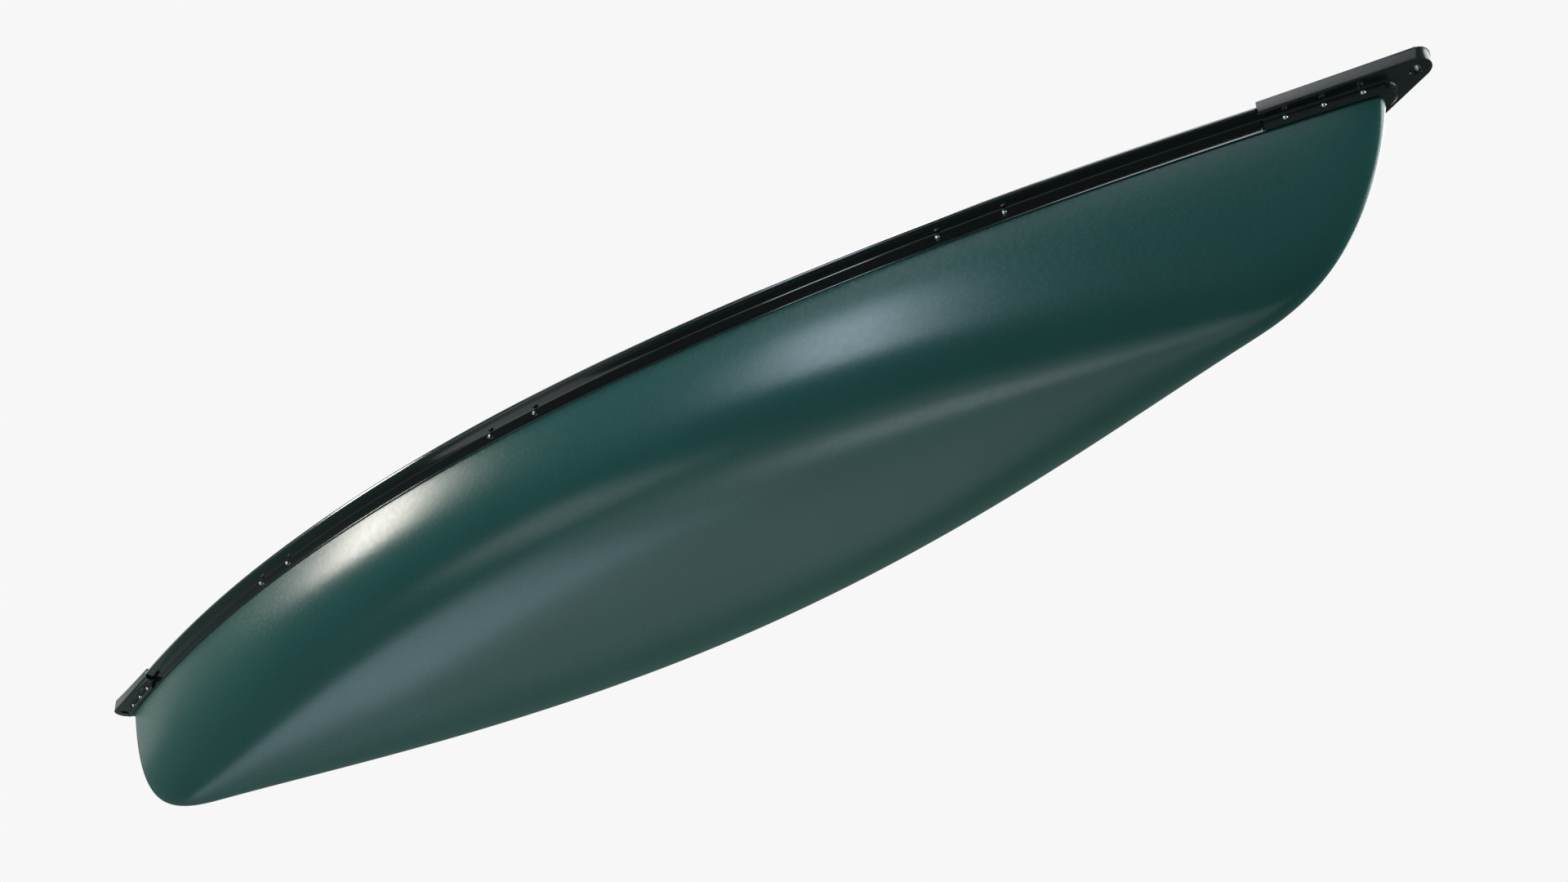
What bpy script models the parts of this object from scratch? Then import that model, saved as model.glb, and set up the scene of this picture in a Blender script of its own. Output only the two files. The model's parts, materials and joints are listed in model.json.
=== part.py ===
"""A 4.6 m open canoe: moulded hull, gunwale rails, end decks, two webbed seats, a yoke and fasteners.

Frame: X runs along the canoe with the bow at -X, Y across it, Z up. The origin is the lowest point of
the keel, midway along. Lengths are metres. Port (left) is -Y and starboard (right) is +Y.
"""

import functools
import math

import bmesh
import bpy
import numpy as np
from mathutils import Matrix, Vector

# ---- Overall hull -------------------------------------------------------------------------------
HALF_LENGTH = 2.190  # amidships to the outer face of the stem, at the rail
HALF_BEAM = 0.473  # half breadth of the hull at the rail, amidships
STEM_HALF_WIDTH = 0.0185  # half breadth left at the rail where the sides meet the stem
CENTRE_DEPTH = 0.358  # keel to the top edge of the rail, amidships
SHEER_RISE = 0.1215  # how much higher the rail stands at the stem
END_ROCKER = 0.042  # rise of the keel line at the ends
WALL = 0.006  # hull wall
PLAN_FULLNESS = (1.90, 1.015)  # exponents of the half-breadth curve
SHEER_POWER = 1.80
ROCKER_POWER = 2.5
STEM_LENGTH = 0.449  # run of the stem's curve, from the keel line to its outer face at the rail
STEM_ROUNDING = (2.87, 1.467)  # exponents of the stem curve
SECTION_SIDE = (2.81, 1.535)  # exponent of the side, amidships and at the stem
SECTION_FLOOR = (3.31, 1.65)  # exponent of the floor, amidships and at the stem
SECTION_CHANGE = 2.36  # how late the section changes from the middle's to the stem's
END_DEPTH = CENTRE_DEPTH + SHEER_RISE
STEM_START = HALF_LENGTH - STEM_LENGTH

SIDES = {"left": -1, "right": 1}

# ---- Fits ---------------------------------------------------------------------------------------
GAP = 0.0003  # between pieces that touch
HOLE_GAP = 0.0003  # between a shank and its hole, all round
SLOT_GAP = 0.001  # all round the hull's edge in a deck's slot
HEAD_GAP = 0.0006  # under a rivet's head, whose collar is made of flats

# ---- Gunwale rails ------------------------------------------------------------------------------
RAIL_OUT = 0.042  # hull's outer face to the lip's edge, amidships
RAIL_TAPER = 0.0055  # how much narrower the flange is at the stem
RAIL_IN = 0.010  # the inner flange past the inner web
RAIL_LIP = 0.009  # thickness of the flange at its edges
RAIL_CROWN = 0.003  # how far the top's middle stands above its edges
RAIL_EDGE = 0.003  # rounding of the top's edges
WEB = 0.003  # each of the two webs that straddle the hull's edge
WEB_DEPTH = 0.0435  # rail top to the webs' lower edges

# ---- End decks ----------------------------------------------------------------------------------
DECK_ON_HULL = 0.233  # the deck's inboard face, from the stem
DECK_OVERHANG = 0.1098  # the nose's tip, past the stem
DECK_SHORT = 0.0018  # the deck's side, in from the rail's lip at the inboard face
DECK_NOSE_RADIUS = 0.030
DECK_RISE = 0.018  # the deck's top above the rail's, at the inboard face
DECK_SLOPE = 0.1046  # climb of the top towards the nose
DECK_THICK = 0.035
DECK_PLATE = 0.005  # what is left above the pocket
DECK_SCOOP = 0.030  # how deep the inboard edge curves in
DECK_EDGE = 0.0025  # rounding of the top's edges
COLLAR_OUT = 0.0085  # the collar's outer face, from the hull
COLLAR_FOOT_OUT = 0.004  # the same at its chamfered foot
COLLAR_DEPTH = 0.043  # rail top to the collar's foot
COLLAR_CHAMFER = 0.005
COLLAR_INNER = 0.004  # wall of the collar inside the hull
COLLAR_ROUNDING = 0.033  # from the stem, where the collar's sides turn into its round end
COLLAR_REACH = 0.022  # how far the round end's centre stands ahead of the stem's own
TOW_HOLE_RADIUS = 0.0125
TOW_HOLE_FROM_TIP = 0.037
DECK_AFT = HALF_LENGTH - DECK_ON_HULL
DECK_NOSE_CENTRE = HALF_LENGTH + DECK_OVERHANG - DECK_NOSE_RADIUS

# ---- Fasteners ----------------------------------------------------------------------------------
RIVET_FROM_AFT = 0.041  # first rivet, from the deck's inboard face
RIVET_PITCH = 0.078
RIVETS_PER_SIDE = 3
RIVET_DROP = 0.0275  # below the rail's top
RIVET_HEAD_RADIUS = 0.0062
RIVET_HEAD_HEIGHT = 0.0046
RIVET_SHANK_RADIUS = 0.0024
BOLT_DROP = 0.0204
BOLT_PITCH = 0.157
BOLT_HEAD_RADIUS = 0.0065
BOLT_HEAD_HEIGHT = 0.0055
BOLT_RADIUS = 0.003
NUT_RADIUS = 0.0058  # across the corners, halved
NUT_HEIGHT = 0.005
SHANK_PROUD = 0.002  # how far a shank stands out behind what it holds
DRILL_REACH = 0.024  # how far a drill reaches each way from the hull's face

# ---- Brackets, seats and yoke -------------------------------------------------------------------
PLATE = 0.004  # brackets are bent from this plate
BRACKET_HALF_LENGTH = 0.128
BRACKET_LEAN = 0.012  # how far a seat bracket's foot is set in from its bolts
SHELF = 0.042
SEATS = {"stern": (0.875, 0.1065, 0.023), "bow": (-1.152, 0.1147, 0.072)}
# for each seat: stem to the seat's middle, rail top to its webbing, shorter rail's end to the stile
SEAT_RAIL = (0.038, 0.020)  # width and thickness
SEAT_RAIL_SPREAD = 0.105  # half the distance between the two rails' middles
BAR_EDGE = 0.0025  # rounding of the rails and stiles
STILE_WIDTH = 0.030
WEBBING_THICK = 0.003
WEBBING_EDGE = 0.0005
WEBBING_INSET = 0.006  # the webbing's edge, in from the frame's
BAR_END_PLAY = 0.002
YOKE_STATION = 0.030
YOKE_DROP = 0.040  # rail top to the yoke's top
YOKE_WIDTH = 0.062
YOKE_THICK = 0.020
YOKE_BOW = 0.045  # how far the middle curves forward round the neck
YOKE_BOW_SPAN = 0.115

# ---- Fineness of the solids ---------------------------------------------------------------------
STRAIGHT_STATIONS = 17
STEM_STATIONS = 9
YOKE_STATIONS = 25
END_MARGIN = 0.010  # no station of a rail lies closer than this to its end
SAMPLES = 600  # points that a curve is measured with
GIRTH_POINTS = 12
ROUND = 10
BILGE_WEIGHT = 0.10  # how much the points along a section crowd where it turns, in metres a radian

PLASTIC_GREEN = ("hull_plastic", (0.022, 0.075, 0.068, 1), 0.35, 0.0)
BLACK_VINYL = ("black_vinyl", (0.012, 0.012, 0.014, 1), 0.35, 0.0)
STEEL = ("stainless_steel", (0.62, 0.62, 0.63, 1), 0.3, 1.0)
ALUMINIUM = ("aluminium_plate", (0.55, 0.56, 0.57, 1), 0.4, 1.0)
ASH = ("ash_wood", (0.50, 0.31, 0.15, 1), 0.45, 0.0)
NYLON = ("nylon_webbing", (0.015, 0.015, 0.016, 1), 0.8, 0.0)


# ---- The hull's lines -----------------------------------------------------------------------------
def breadth(x):
    """Half breadth of the hull's outer face at the rail."""
    p, q = PLAN_FULLNESS
    fill = max(0.0, 1.0 - min(1.0, abs(x) / HALF_LENGTH) ** p) ** q
    return STEM_HALF_WIDTH + (HALF_BEAM - STEM_HALF_WIDTH) * fill


def plan_slope(x):
    """How fast the half breadth shrinks along +X."""
    step = 1e-4
    return (breadth(x + step) - breadth(x - step)) / (2 * step)


def sheer(x):
    """Height of the rail's top edge."""
    return CENTRE_DEPTH + (END_DEPTH - CENTRE_DEPTH) * abs(x / HALF_LENGTH) ** SHEER_POWER


def keel(x, inset=0.0):
    """Height of the keel and stem line, on a skin this far inside the outer face."""
    a, b = STEM_ROUNDING
    along = abs(x)
    reach = HALF_LENGTH - inset - STEM_START
    u = min(1.0, max(0.0, (along - STEM_START) / reach))
    rise = END_ROCKER * (along / HALF_LENGTH) ** ROCKER_POWER
    return rise + (END_DEPTH - END_ROCKER) * (1 - (1 - u**a) ** (1 / b)) + inset


def rim_height(x):
    return sheer(x) - RAIL_LIP - GAP


def stem_end(inset):
    """Where the stem line reaches the hull's rim, found by halving."""
    low, high = STEM_START, HALF_LENGTH - inset
    for _ in range(50):
        middle = (low + high) / 2
        if keel(middle, inset) < rim_height(middle):
            low = middle
        else:
            high = middle
    return low


@functools.cache
def stations(inset=0.0):
    """Places along half the canoe: even to the stem's start, then even along the stem's curve."""
    straight = np.linspace(0, STEM_START, STRAIGHT_STATIONS + 1)
    end = stem_end(inset)
    fine = STEM_START + (end - STEM_START) * (1 - np.linspace(1, 0, SAMPLES) ** 3)
    heights = [keel(x, inset) for x in fine]
    run = np.concatenate([[0], np.cumsum(np.hypot(np.diff(fine), np.diff(heights)))])
    curved = np.interp(np.linspace(0, run[-1], STEM_STATIONS + 1), run, fine)
    half = np.concatenate([straight, curved[1:]])
    return np.concatenate([-half[:0:-1], half])


@functools.cache
def flat_side(x):
    """Half breadth on the flats between the hull's stations, which everything at the rail follows."""
    places = stations()
    return float(np.interp(x, places, [breadth(place) for place in places]))


def side_curve(x, part, inset=0.0):
    """Half breadth of a skin at this part of the way up from the keel to the rail's top."""
    blend = (abs(x) / HALF_LENGTH) ** SECTION_CHANGE
    m = SECTION_SIDE[0] + (SECTION_SIDE[1] - SECTION_SIDE[0]) * blend
    k = SECTION_FLOOR[0] + (SECTION_FLOOR[1] - SECTION_FLOOR[0]) * blend
    return (breadth(x) - inset) * (1 - (1 - part) ** m) ** (1 / k)


def section(x, inset):
    """Keel to rim on one side: points (y, z) that crowd round the bilge, with the last two at the
    webs' lower edges and at the rim, where the side is straight."""
    low, top = keel(x, inset), sheer(x)
    height = max(1e-9, rim_height(x) - low)
    part = height / (top - low) * np.linspace(0, 1, SAMPLES) ** 4
    y, z = side_curve(x, part, inset), low + (top - low) * part
    step = np.hypot(np.diff(y), np.diff(z))
    turn = np.abs(np.diff(np.unwrap(np.arctan2(np.diff(z), np.diff(y) + 1e-12)), append=0))
    run = np.concatenate([[0], np.cumsum(step + BILGE_WEIGHT * turn)])
    web_edge = part[-1] * max(0.5, 1 - (WEB_DEPTH - RAIL_LIP) / height)
    at = np.append(np.linspace(0, np.interp(web_edge, part, run), GIRTH_POINTS), run[-1])
    return np.column_stack([np.interp(at, run, y), np.interp(at, run, z)])


def side_lean(x):
    """How far the side has come in at the webs' lower edges, which the inner web has to clear."""
    part = 1 - WEB_DEPTH / (sheer(x) - keel(x, WALL))
    return breadth(x) - WALL - side_curve(x, part, WALL)


def inner_web(x):
    """The inner web's outer face, from the hull's outer face."""
    return -(WALL + GAP + side_lean(x))


# ---- Modelling helpers ----------------------------------------------------------------------------
def material(look):
    name, colour, roughness, metallic = look
    found = bpy.data.materials.get(name)
    if found:
        return found
    made = bpy.data.materials.new(name)
    made.use_nodes = True
    shader = made.node_tree.nodes["Principled BSDF"]
    shader.inputs["Base Color"].default_value = colour
    shader.inputs["Roughness"].default_value = roughness
    shader.inputs["Metallic"].default_value = metallic
    made.diffuse_color = colour
    return made


def finish(name, bm, look=None, smooth=0.0):
    """Turns the bmesh into a named object. One with no look is a helper that cuts or joins others."""
    bmesh.ops.recalc_face_normals(bm, faces=bm.faces[:])
    mesh = bpy.data.meshes.new(name)
    bm.to_mesh(mesh)
    bm.free()
    if smooth:
        mesh.shade_smooth()
        mesh.set_sharp_from_angle(angle=math.radians(smooth))
    obj = bpy.data.objects.new(name, mesh)
    bpy.context.scene.collection.objects.link(obj)
    if look:
        mesh.materials.append(material(look))
    else:
        obj.hide_render = True
        obj.display_type = "WIRE"
    return obj


def loft(bm, rings):
    """A closed solid through equal outlines: a face, extruded and reshaped from ring to ring."""
    face = bm.faces.new([bm.verts.new(point) for point in rings[0]])
    for number, ring in enumerate(rings[1:]):
        grown = bmesh.ops.extrude_face_region(bm, geom=[face])["geom"]
        if number:
            bmesh.ops.delete(bm, geom=[face], context="FACES_ONLY")
        face = next(item for item in grown if isinstance(item, bmesh.types.BMFace))
        for vert, point in zip(face.verts, ring):
            vert.co = point


def round_edges(bm, edges, width, segments):
    bmesh.ops.bevel(
        bm, geom=edges, offset=width, segments=segments, profile=0.5, affect="EDGES", material=-1,
        clamp_overlap=True,
    )


def combine(obj, operation, helper):
    cut = obj.modifiers.new(f"{operation} {helper.name}", "BOOLEAN")
    cut.operation = operation
    cut.solver = "EXACT"
    cut.object = helper


def outward(x, side):
    """The level direction square to the hull's side at this station."""
    return Vector((-plan_slope(x), side, 0)).normalized()


def on_rail(x, side, drop):
    """The point on the hull's outer face, this far below the rail's top."""
    return Vector((x, side * flat_side(x), sheer(x) - drop))


def turned(bm, profile, origin, axis, ring=False, steps=ROUND):
    """A solid of revolution: the profile's (distance along the axis, radius) spun round it."""
    turn = axis.to_track_quat("Z", "Y").to_matrix().to_4x4()
    place = Matrix.Translation(origin) @ turn
    verts = [bm.verts.new((radius, 0, along)) for along, radius in profile]
    edges = [bm.edges.new(pair) for pair in zip(verts, verts[1:])]
    if ring:
        edges.append(bm.edges.new((verts[-1], verts[0])))
    bmesh.ops.spin(
        bm, geom=verts + edges, axis=(0, 0, 1), cent=(0, 0, 0), angle=math.tau, steps=steps,
        use_merge=True,
    )
    bmesh.ops.remove_doubles(bm, verts=bm.verts[:], dist=1e-6)
    bmesh.ops.transform(bm, matrix=place, verts=bm.verts[:])


def add_turned(bm, *shape, **options):
    """Spins the shape apart from what bm holds already, then adds it."""
    part = bmesh.new()
    turned(part, *shape, **options)
    mesh = bpy.data.meshes.new("shape to add")
    part.to_mesh(mesh)
    part.free()
    bm.from_mesh(mesh)
    bpy.data.meshes.remove(mesh)


def rod(reach, radius):
    """Profile of a plain rod that reaches equally far both ways."""
    return [(-reach, 0), (-reach, radius), (reach, radius), (reach, 0)]


# ---- Hull -----------------------------------------------------------------------------------------
def add_skin(bm, inset):
    """One face of the hull's wall, as a grid whose columns are stations and rows run rim to rim."""
    places = stations(inset)
    columns, rows = len(places), 2 * GIRTH_POINTS + 1
    outlines = [section(x, inset) for x in places]
    before = set(bm.verts)
    bmesh.ops.create_grid(bm, x_segments=columns - 1, y_segments=rows - 1, size=1)
    for vert in set(bm.verts) - before:
        i = round((vert.co.x + 1) / 2 * (columns - 1))
        j = round((vert.co.y + 1) / 2 * (rows - 1)) - GIRTH_POINTS
        y, z = outlines[i][abs(j)]
        vert.co = (places[i], math.copysign(y, j), z)


def hull_wall(name, look=None):
    """The closed shell between the outer and the inner skin, bridged along the rim."""
    bm = bmesh.new()
    for inset in (0.0, WALL):
        add_skin(bm, inset)
    bmesh.ops.remove_doubles(bm, verts=bm.verts[:], dist=1e-5)
    bmesh.ops.dissolve_degenerate(bm, edges=bm.edges[:], dist=1e-5)
    bmesh.ops.bridge_loops(bm, edges=[edge for edge in bm.edges if edge.is_boundary])
    bmesh.ops.triangulate(bm, faces=bm.faces[:])
    return finish(name, bm, look, smooth=40)


# ---- Gunwale rails --------------------------------------------------------------------------------
def rail_stations(start, end):
    inside = [x for x in stations() if start + END_MARGIN < x < end - END_MARGIN]
    return [start, *inside, end]


def rail_width(x):
    return RAIL_OUT - RAIL_TAPER * abs(x / HALF_LENGTH) ** 4


def rail_section(x):
    """One flange over the hull's edge, with a web on each side of it."""
    slot = inner_web(x)
    lip, edge = rail_width(x), slot - WEB - RAIL_IN
    return [
        (slot - WEB, -WEB_DEPTH),
        (slot, -WEB_DEPTH),
        (slot, -RAIL_LIP),
        (GAP, -RAIL_LIP),
        (GAP, -WEB_DEPTH),
        (GAP + WEB, -WEB_DEPTH),
        (GAP + WEB, -RAIL_LIP),
        (lip, -RAIL_LIP),
        (lip, -RAIL_EDGE),
        (lip - RAIL_EDGE, 0),
        ((lip + edge) / 2, RAIL_CROWN),
        (edge + RAIL_EDGE, 0),
        (edge, -RAIL_EDGE),
        (edge, -RAIL_LIP),
        (slot - WEB, -RAIL_LIP),
    ]


def along_rail(name, look, side, start, end, outline, holes):
    """A drilled piece that follows the hull's side: outline(x) gives its section at each station, as
    (distance outboard of the hull's face, height above the rail's top edge)."""
    rings = []
    for x in rail_stations(start, end):
        rings.append([(x, side * (flat_side(x) + out), sheer(x) + up) for out, up in outline(x)])
    bm = bmesh.new()
    loft(bm, rings)
    combine(finish(name, bm, look), "DIFFERENCE", holes)


# ---- Decks ----------------------------------------------------------------------------------------
def end_name(end):
    return "stern" if end > 0 else "bow"


def deck_top(x):
    return sheer(DECK_AFT) + DECK_RISE + DECK_SLOPE * (abs(x) - DECK_AFT)


def arc(centre, radius, start, end, steps):
    angles = np.linspace(start, end, steps)
    return [(centre + radius * math.cos(a), radius * math.sin(a)) for a in angles]


def deck_outline():
    """Plan of the deck at the stern: straight sides, a round nose and a scooped inboard edge."""
    reach = DECK_NOSE_CENTRE - DECK_AFT
    width = breadth(DECK_AFT) + rail_width(DECK_AFT) - DECK_SHORT
    lean = math.asin((width - DECK_NOSE_RADIUS) / math.hypot(reach, width - DECK_NOSE_RADIUS))
    nose = arc(DECK_NOSE_CENTRE, DECK_NOSE_RADIUS, lean - math.pi / 2, math.pi / 2 - lean, 11)
    half = breadth(DECK_AFT) - WALL - WEB - RAIL_IN - COLLAR_INNER
    scoop = [(DECK_AFT + DECK_SCOOP * (1 - (y / half) ** 2), y) for y in np.linspace(half, -half, 9)]
    return [(DECK_AFT, -width), *nose, (DECK_AFT, width), *scoop]


def collar_outline(out):
    """Plan of the collar, this far outside the hull, closing ahead of the stem in an arc.

    The arc's centre is moved forward along the sides' tangents, so its radius shrinks to stay on them.
    """
    slope = abs(plan_slope(HALF_LENGTH - COLLAR_ROUNDING))
    radius = STEM_HALF_WIDTH / (math.hypot(1, slope) - slope)
    centre = HALF_LENGTH - radius
    lean = math.atan(slope)
    joint = centre + (radius + out) * math.sin(lean)
    places = np.linspace(DECK_AFT, joint, 7)[:-1]
    side = [(x, breadth(x) + out * math.hypot(1, plan_slope(x))) for x in places]
    reach = COLLAR_REACH * out / COLLAR_OUT
    round_end = radius + out - reach * math.sin(lean)
    nose = arc(centre + reach, round_end, math.pi / 2 - lean, lean - math.pi / 2, 9)
    return [*side, *nose, *[(x, -y) for x, y in reversed(side)]]


def deck_slab(end):
    bm = bmesh.new()
    outline = deck_outline()
    tops = [(end * x, y, deck_top(x)) for x, y in outline]
    lows = [(x, y, z - DECK_THICK) for x, y, z in tops]
    loft(bm, [lows, tops])
    upper = []
    for edge in bm.edges:
        if all(vert.co.z > deck_top(vert.co.x) - DECK_THICK / 2 for vert in edge.verts):
            upper.append(edge)
    round_edges(bm, upper, DECK_EDGE, 2)
    return finish(f"{end_name(end)}_deck", bm, BLACK_VINYL)


def deck_collar(end):
    """The block that wraps the hull's end, from its chamfered foot up into the deck."""
    levels = [
        (COLLAR_FOOT_OUT, lambda x: sheer(x) - COLLAR_DEPTH),
        (COLLAR_OUT, lambda x: sheer(x) - COLLAR_DEPTH + COLLAR_CHAMFER),
        (COLLAR_OUT, lambda x: deck_top(x) - DECK_THICK / 2),
    ]
    bm = bmesh.new()
    loft(bm, [[(end * x, y, height(x)) for x, y in collar_outline(out)] for out, height in levels])
    return finish(f"{end_name(end)}_collar_block", bm)


def deck_pocket(end):
    """The hollow inside the collar, open below and towards the cockpit's side of the stem."""
    inset = WALL + SLOT_GAP + COLLAR_INNER
    start = DECK_AFT + DECK_SCOOP + 2 * DECK_PLATE
    rings = []
    for x in np.linspace(start, HALF_LENGTH, 10):
        half, low, high = breadth(x) - inset, sheer(x) - 2 * COLLAR_DEPTH, deck_top(x) - DECK_PLATE
        if half > 2 * COLLAR_INNER:
            corners = ((-half, low), (half, low), (half, high), (-half, high))
            rings.append([(end * x, y, z) for y, z in corners])
    bm = bmesh.new()
    loft(bm, rings)
    return finish(f"{end_name(end)}_pocket", bm)


def tow_hole_x():
    return DECK_NOSE_CENTRE + DECK_NOSE_RADIUS - TOW_HOLE_FROM_TIP


def tow_hole(end):
    bm = bmesh.new()
    middle = Vector((end * tow_hole_x(), 0, deck_top(tow_hole_x()) - DECK_THICK / 2))
    square = Vector((-end * DECK_SLOPE, 0, 1)).normalized()
    turned(bm, rod(DECK_THICK, TOW_HOLE_RADIUS), middle, square)
    return finish(f"{end_name(end)}_tow_drill", bm)


# ---- Fasteners ------------------------------------------------------------------------------------
def dome(base, height, radius, steps=3):
    """Profile of a domed head, from its top down to its rim."""
    angles = np.linspace(math.pi / 2, 0, steps + 1)
    return [(base + height * math.sin(a), radius * math.cos(a)) for a in angles]


def fastener(name, x, side, drop, seat, head, shank_radius, tip):
    """A domed fastener square to the hull's side, its head's flat this far outside the hull's face."""
    height, radius = head
    profile = [*dome(seat, height, radius), (seat, shank_radius), (tip, shank_radius), (tip, 0)]
    bm = bmesh.new()
    turned(bm, profile, on_rail(x, side, drop), outward(x, side))
    return finish(name, bm, STEEL, smooth=40)


def nut(name, x, side, seat):
    """A six-sided ring, wide enough inside its flats for the bolt."""
    bore = (BOLT_RADIUS + HOLE_GAP) / math.cos(math.pi / 6)
    back = seat - NUT_HEIGHT
    profile = [(seat, bore), (seat, NUT_RADIUS), (back, NUT_RADIUS), (back, bore)]
    bm = bmesh.new()
    turned(bm, profile, on_rail(x, side, BOLT_DROP), outward(x, side), ring=True, steps=6)
    return finish(name, bm, STEEL)


def bolt_places():
    """Every through bolt, as (what it holds, number along the canoe, station)."""
    stations_held = {"yoke": YOKE_STATION}
    for name in SEATS:
        stations_held[f"{name}_seat"] = seat_station(name)
    for name, station in stations_held.items():
        for number, offset in enumerate((-BOLT_PITCH / 2, BOLT_PITCH / 2), 1):
            yield name, number, station + offset


def rivet_places():
    """Every rivet, as (which end's, number from the deck's inboard face, station)."""
    for end in (1, -1):
        for number in range(RIVETS_PER_SIDE):
            yield end_name(end), number + 1, end * (DECK_AFT + RIVET_FROM_AFT + number * RIVET_PITCH)


def drills(name, places, drop, radius):
    """One cutter holding the hole of every fastener of a kind, on both sides."""
    bm = bmesh.new()
    for x in places:
        for side in SIDES.values():
            add_turned(bm, rod(DRILL_REACH, radius), on_rail(x, side, drop), outward(x, side))
    return finish(name, bm)


# ---- Seats and yoke -------------------------------------------------------------------------------
def seat_station(name):
    """The seat's middle: stern seats lie at +X and bow seats at -X."""
    from_stem = SEATS[name][0]
    return math.copysign(HALF_LENGTH - abs(from_stem), from_stem)


def bracket_section(x, shelf_top, lean):
    """A plate bolted to the rail's inner web, set in by lean and turned under as a shelf. The shelf is
    level, so its height is taken from the rail's at this station."""
    outer = inner_web(x) - WEB - GAP
    top, knee, foot = -RAIL_LIP - GAP, -WEB_DEPTH, outer - lean
    shelf = shelf_top - sheer(x)
    return [
        (outer, top),
        (outer - PLATE, top),
        (outer - PLATE, knee - PLATE / 2),
        (foot - PLATE, shelf),
        (foot - PLATE - SHELF, shelf),
        (foot - PLATE - SHELF, shelf - PLATE),
        (foot, shelf - PLATE),
        (outer, knee),
    ]


def brackets(name, station, shelf_top, lean, holes):
    for label, side in SIDES.items():
        along_rail(
            f"{name}_{label}_bracket", ALUMINIUM, side, station - BRACKET_HALF_LENGTH,
            station + BRACKET_HALF_LENGTH, lambda x: bracket_section(x, shelf_top, lean), holes,
        )


def bar_end(x, lean):
    """Half length of a cross bar at this station: to the bracket's plate, less some play."""
    return flat_side(x) + inner_web(x) - WEB - GAP - lean - PLATE - BAR_END_PLAY


def flat_bar(name, look, corners, top, thick, edge):
    """A bar of even thickness with this plan, its edges rounded."""
    bm = bmesh.new()
    loft(bm, [[(x, y, top - thick) for x, y in corners], [(x, y, top) for x, y in corners]])
    round_edges(bm, bm.edges[:], edge, 1)
    finish(name, bm, look)


def block(near, far, low, high):
    """Plan of a straight piece between two stations."""
    return [(near, low), (far, low), (far, high), (near, high)]


def seat(name, holes):
    """A wooden frame of two rails across the canoe and two stiles between them, with webbing on top."""
    station, (_, drop, stile_gap) = seat_station(name), SEATS[name]
    width, thick = SEAT_RAIL
    top = sheer(station) - drop
    frame_top = top - WEBBING_THICK - GAP
    shortest = math.inf
    for label, offset in (("front", -SEAT_RAIL_SPREAD), ("rear", SEAT_RAIL_SPREAD)):
        near, far = station + offset - width / 2, station + offset + width / 2
        near_end, far_end = bar_end(near, BRACKET_LEAN), bar_end(far, BRACKET_LEAN)
        corners = [(near, -near_end), (far, -far_end), (far, far_end), (near, near_end)]
        flat_bar(f"{name}_seat_{label}_rail", ASH, corners, frame_top, thick, BAR_EDGE)
        shortest = min(shortest, near_end, far_end)
    inside = SEAT_RAIL_SPREAD - width / 2 - GAP
    outer = shortest - stile_gap
    for label, side in SIDES.items():
        low, high = sorted((side * (outer - STILE_WIDTH), side * outer))
        corners = block(station - inside, station + inside, low, high)
        flat_bar(f"{name}_seat_{label}_stile", ASH, corners, frame_top, thick, BAR_EDGE)
    reach, across = SEAT_RAIL_SPREAD + width / 2 - WEBBING_INSET, outer - WEBBING_INSET
    corners = block(station - reach, station + reach, -across, across)
    flat_bar(f"{name}_seat_webbing", NYLON, corners, top, WEBBING_THICK, WEBBING_EDGE)
    brackets(f"{name}_seat", station, frame_top - thick - GAP, BRACKET_LEAN, holes)


def yoke(holes):
    """A flat beam whose middle bows forward, so that it sits round a carrier's neck."""
    top = sheer(YOKE_STATION) - YOKE_DROP
    low, half, edge = top - YOKE_THICK, YOKE_WIDTH / 2, YOKE_THICK / 4
    length = min(bar_end(YOKE_STATION + end * half, 0.0) for end in (-1, 1))
    outline = [
        (-half, low + edge), (-half, top - edge), (edge - half, top), (half - edge, top),
        (half, top - edge), (half, low + edge), (half - edge, low), (edge - half, low),
    ]
    rings = []
    for y in np.linspace(-length, length, YOKE_STATIONS):
        middle = YOKE_STATION - YOKE_BOW * math.exp(-((y / YOKE_BOW_SPAN) ** 2))
        rings.append([(middle + along, y, z) for along, z in outline])
    bm = bmesh.new()
    loft(bm, rings)
    finish("yoke", bm, ASH, smooth=50)
    brackets("yoke", YOKE_STATION, low - GAP, 0.0, holes)


# ---- Assembly -------------------------------------------------------------------------------------
def clear_scene():
    for obj in list(bpy.data.objects):
        bpy.data.objects.remove(obj)


def bolts_and_nuts():
    head = (BOLT_HEAD_HEIGHT, BOLT_HEAD_RADIUS)
    for name, number, x in bolt_places():
        under_head, nut_face = GAP + WEB + GAP, inner_web(x) - WEB - GAP - PLATE - GAP
        tip = nut_face - NUT_HEIGHT - SHANK_PROUD
        for label, side in SIDES.items():
            bolt = f"{name}_{label}_bolt_{number}"
            fastener(bolt, x, side, BOLT_DROP, under_head, head, BOLT_RADIUS, tip)
            nut(f"{name}_{label}_nut_{number}", x, side, nut_face)


def rivets():
    head = (RIVET_HEAD_HEIGHT, RIVET_HEAD_RADIUS)
    tip = -(WALL + SLOT_GAP + COLLAR_INNER + SHANK_PROUD)
    for deck, number, x in rivet_places():
        for label, side in SIDES.items():
            rivet = f"{deck}_deck_{label}_rivet_{number}"
            fastener(rivet, x, side, RIVET_DROP, COLLAR_OUT + HEAD_GAP, head, RIVET_SHANK_RADIUS, tip)


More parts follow.
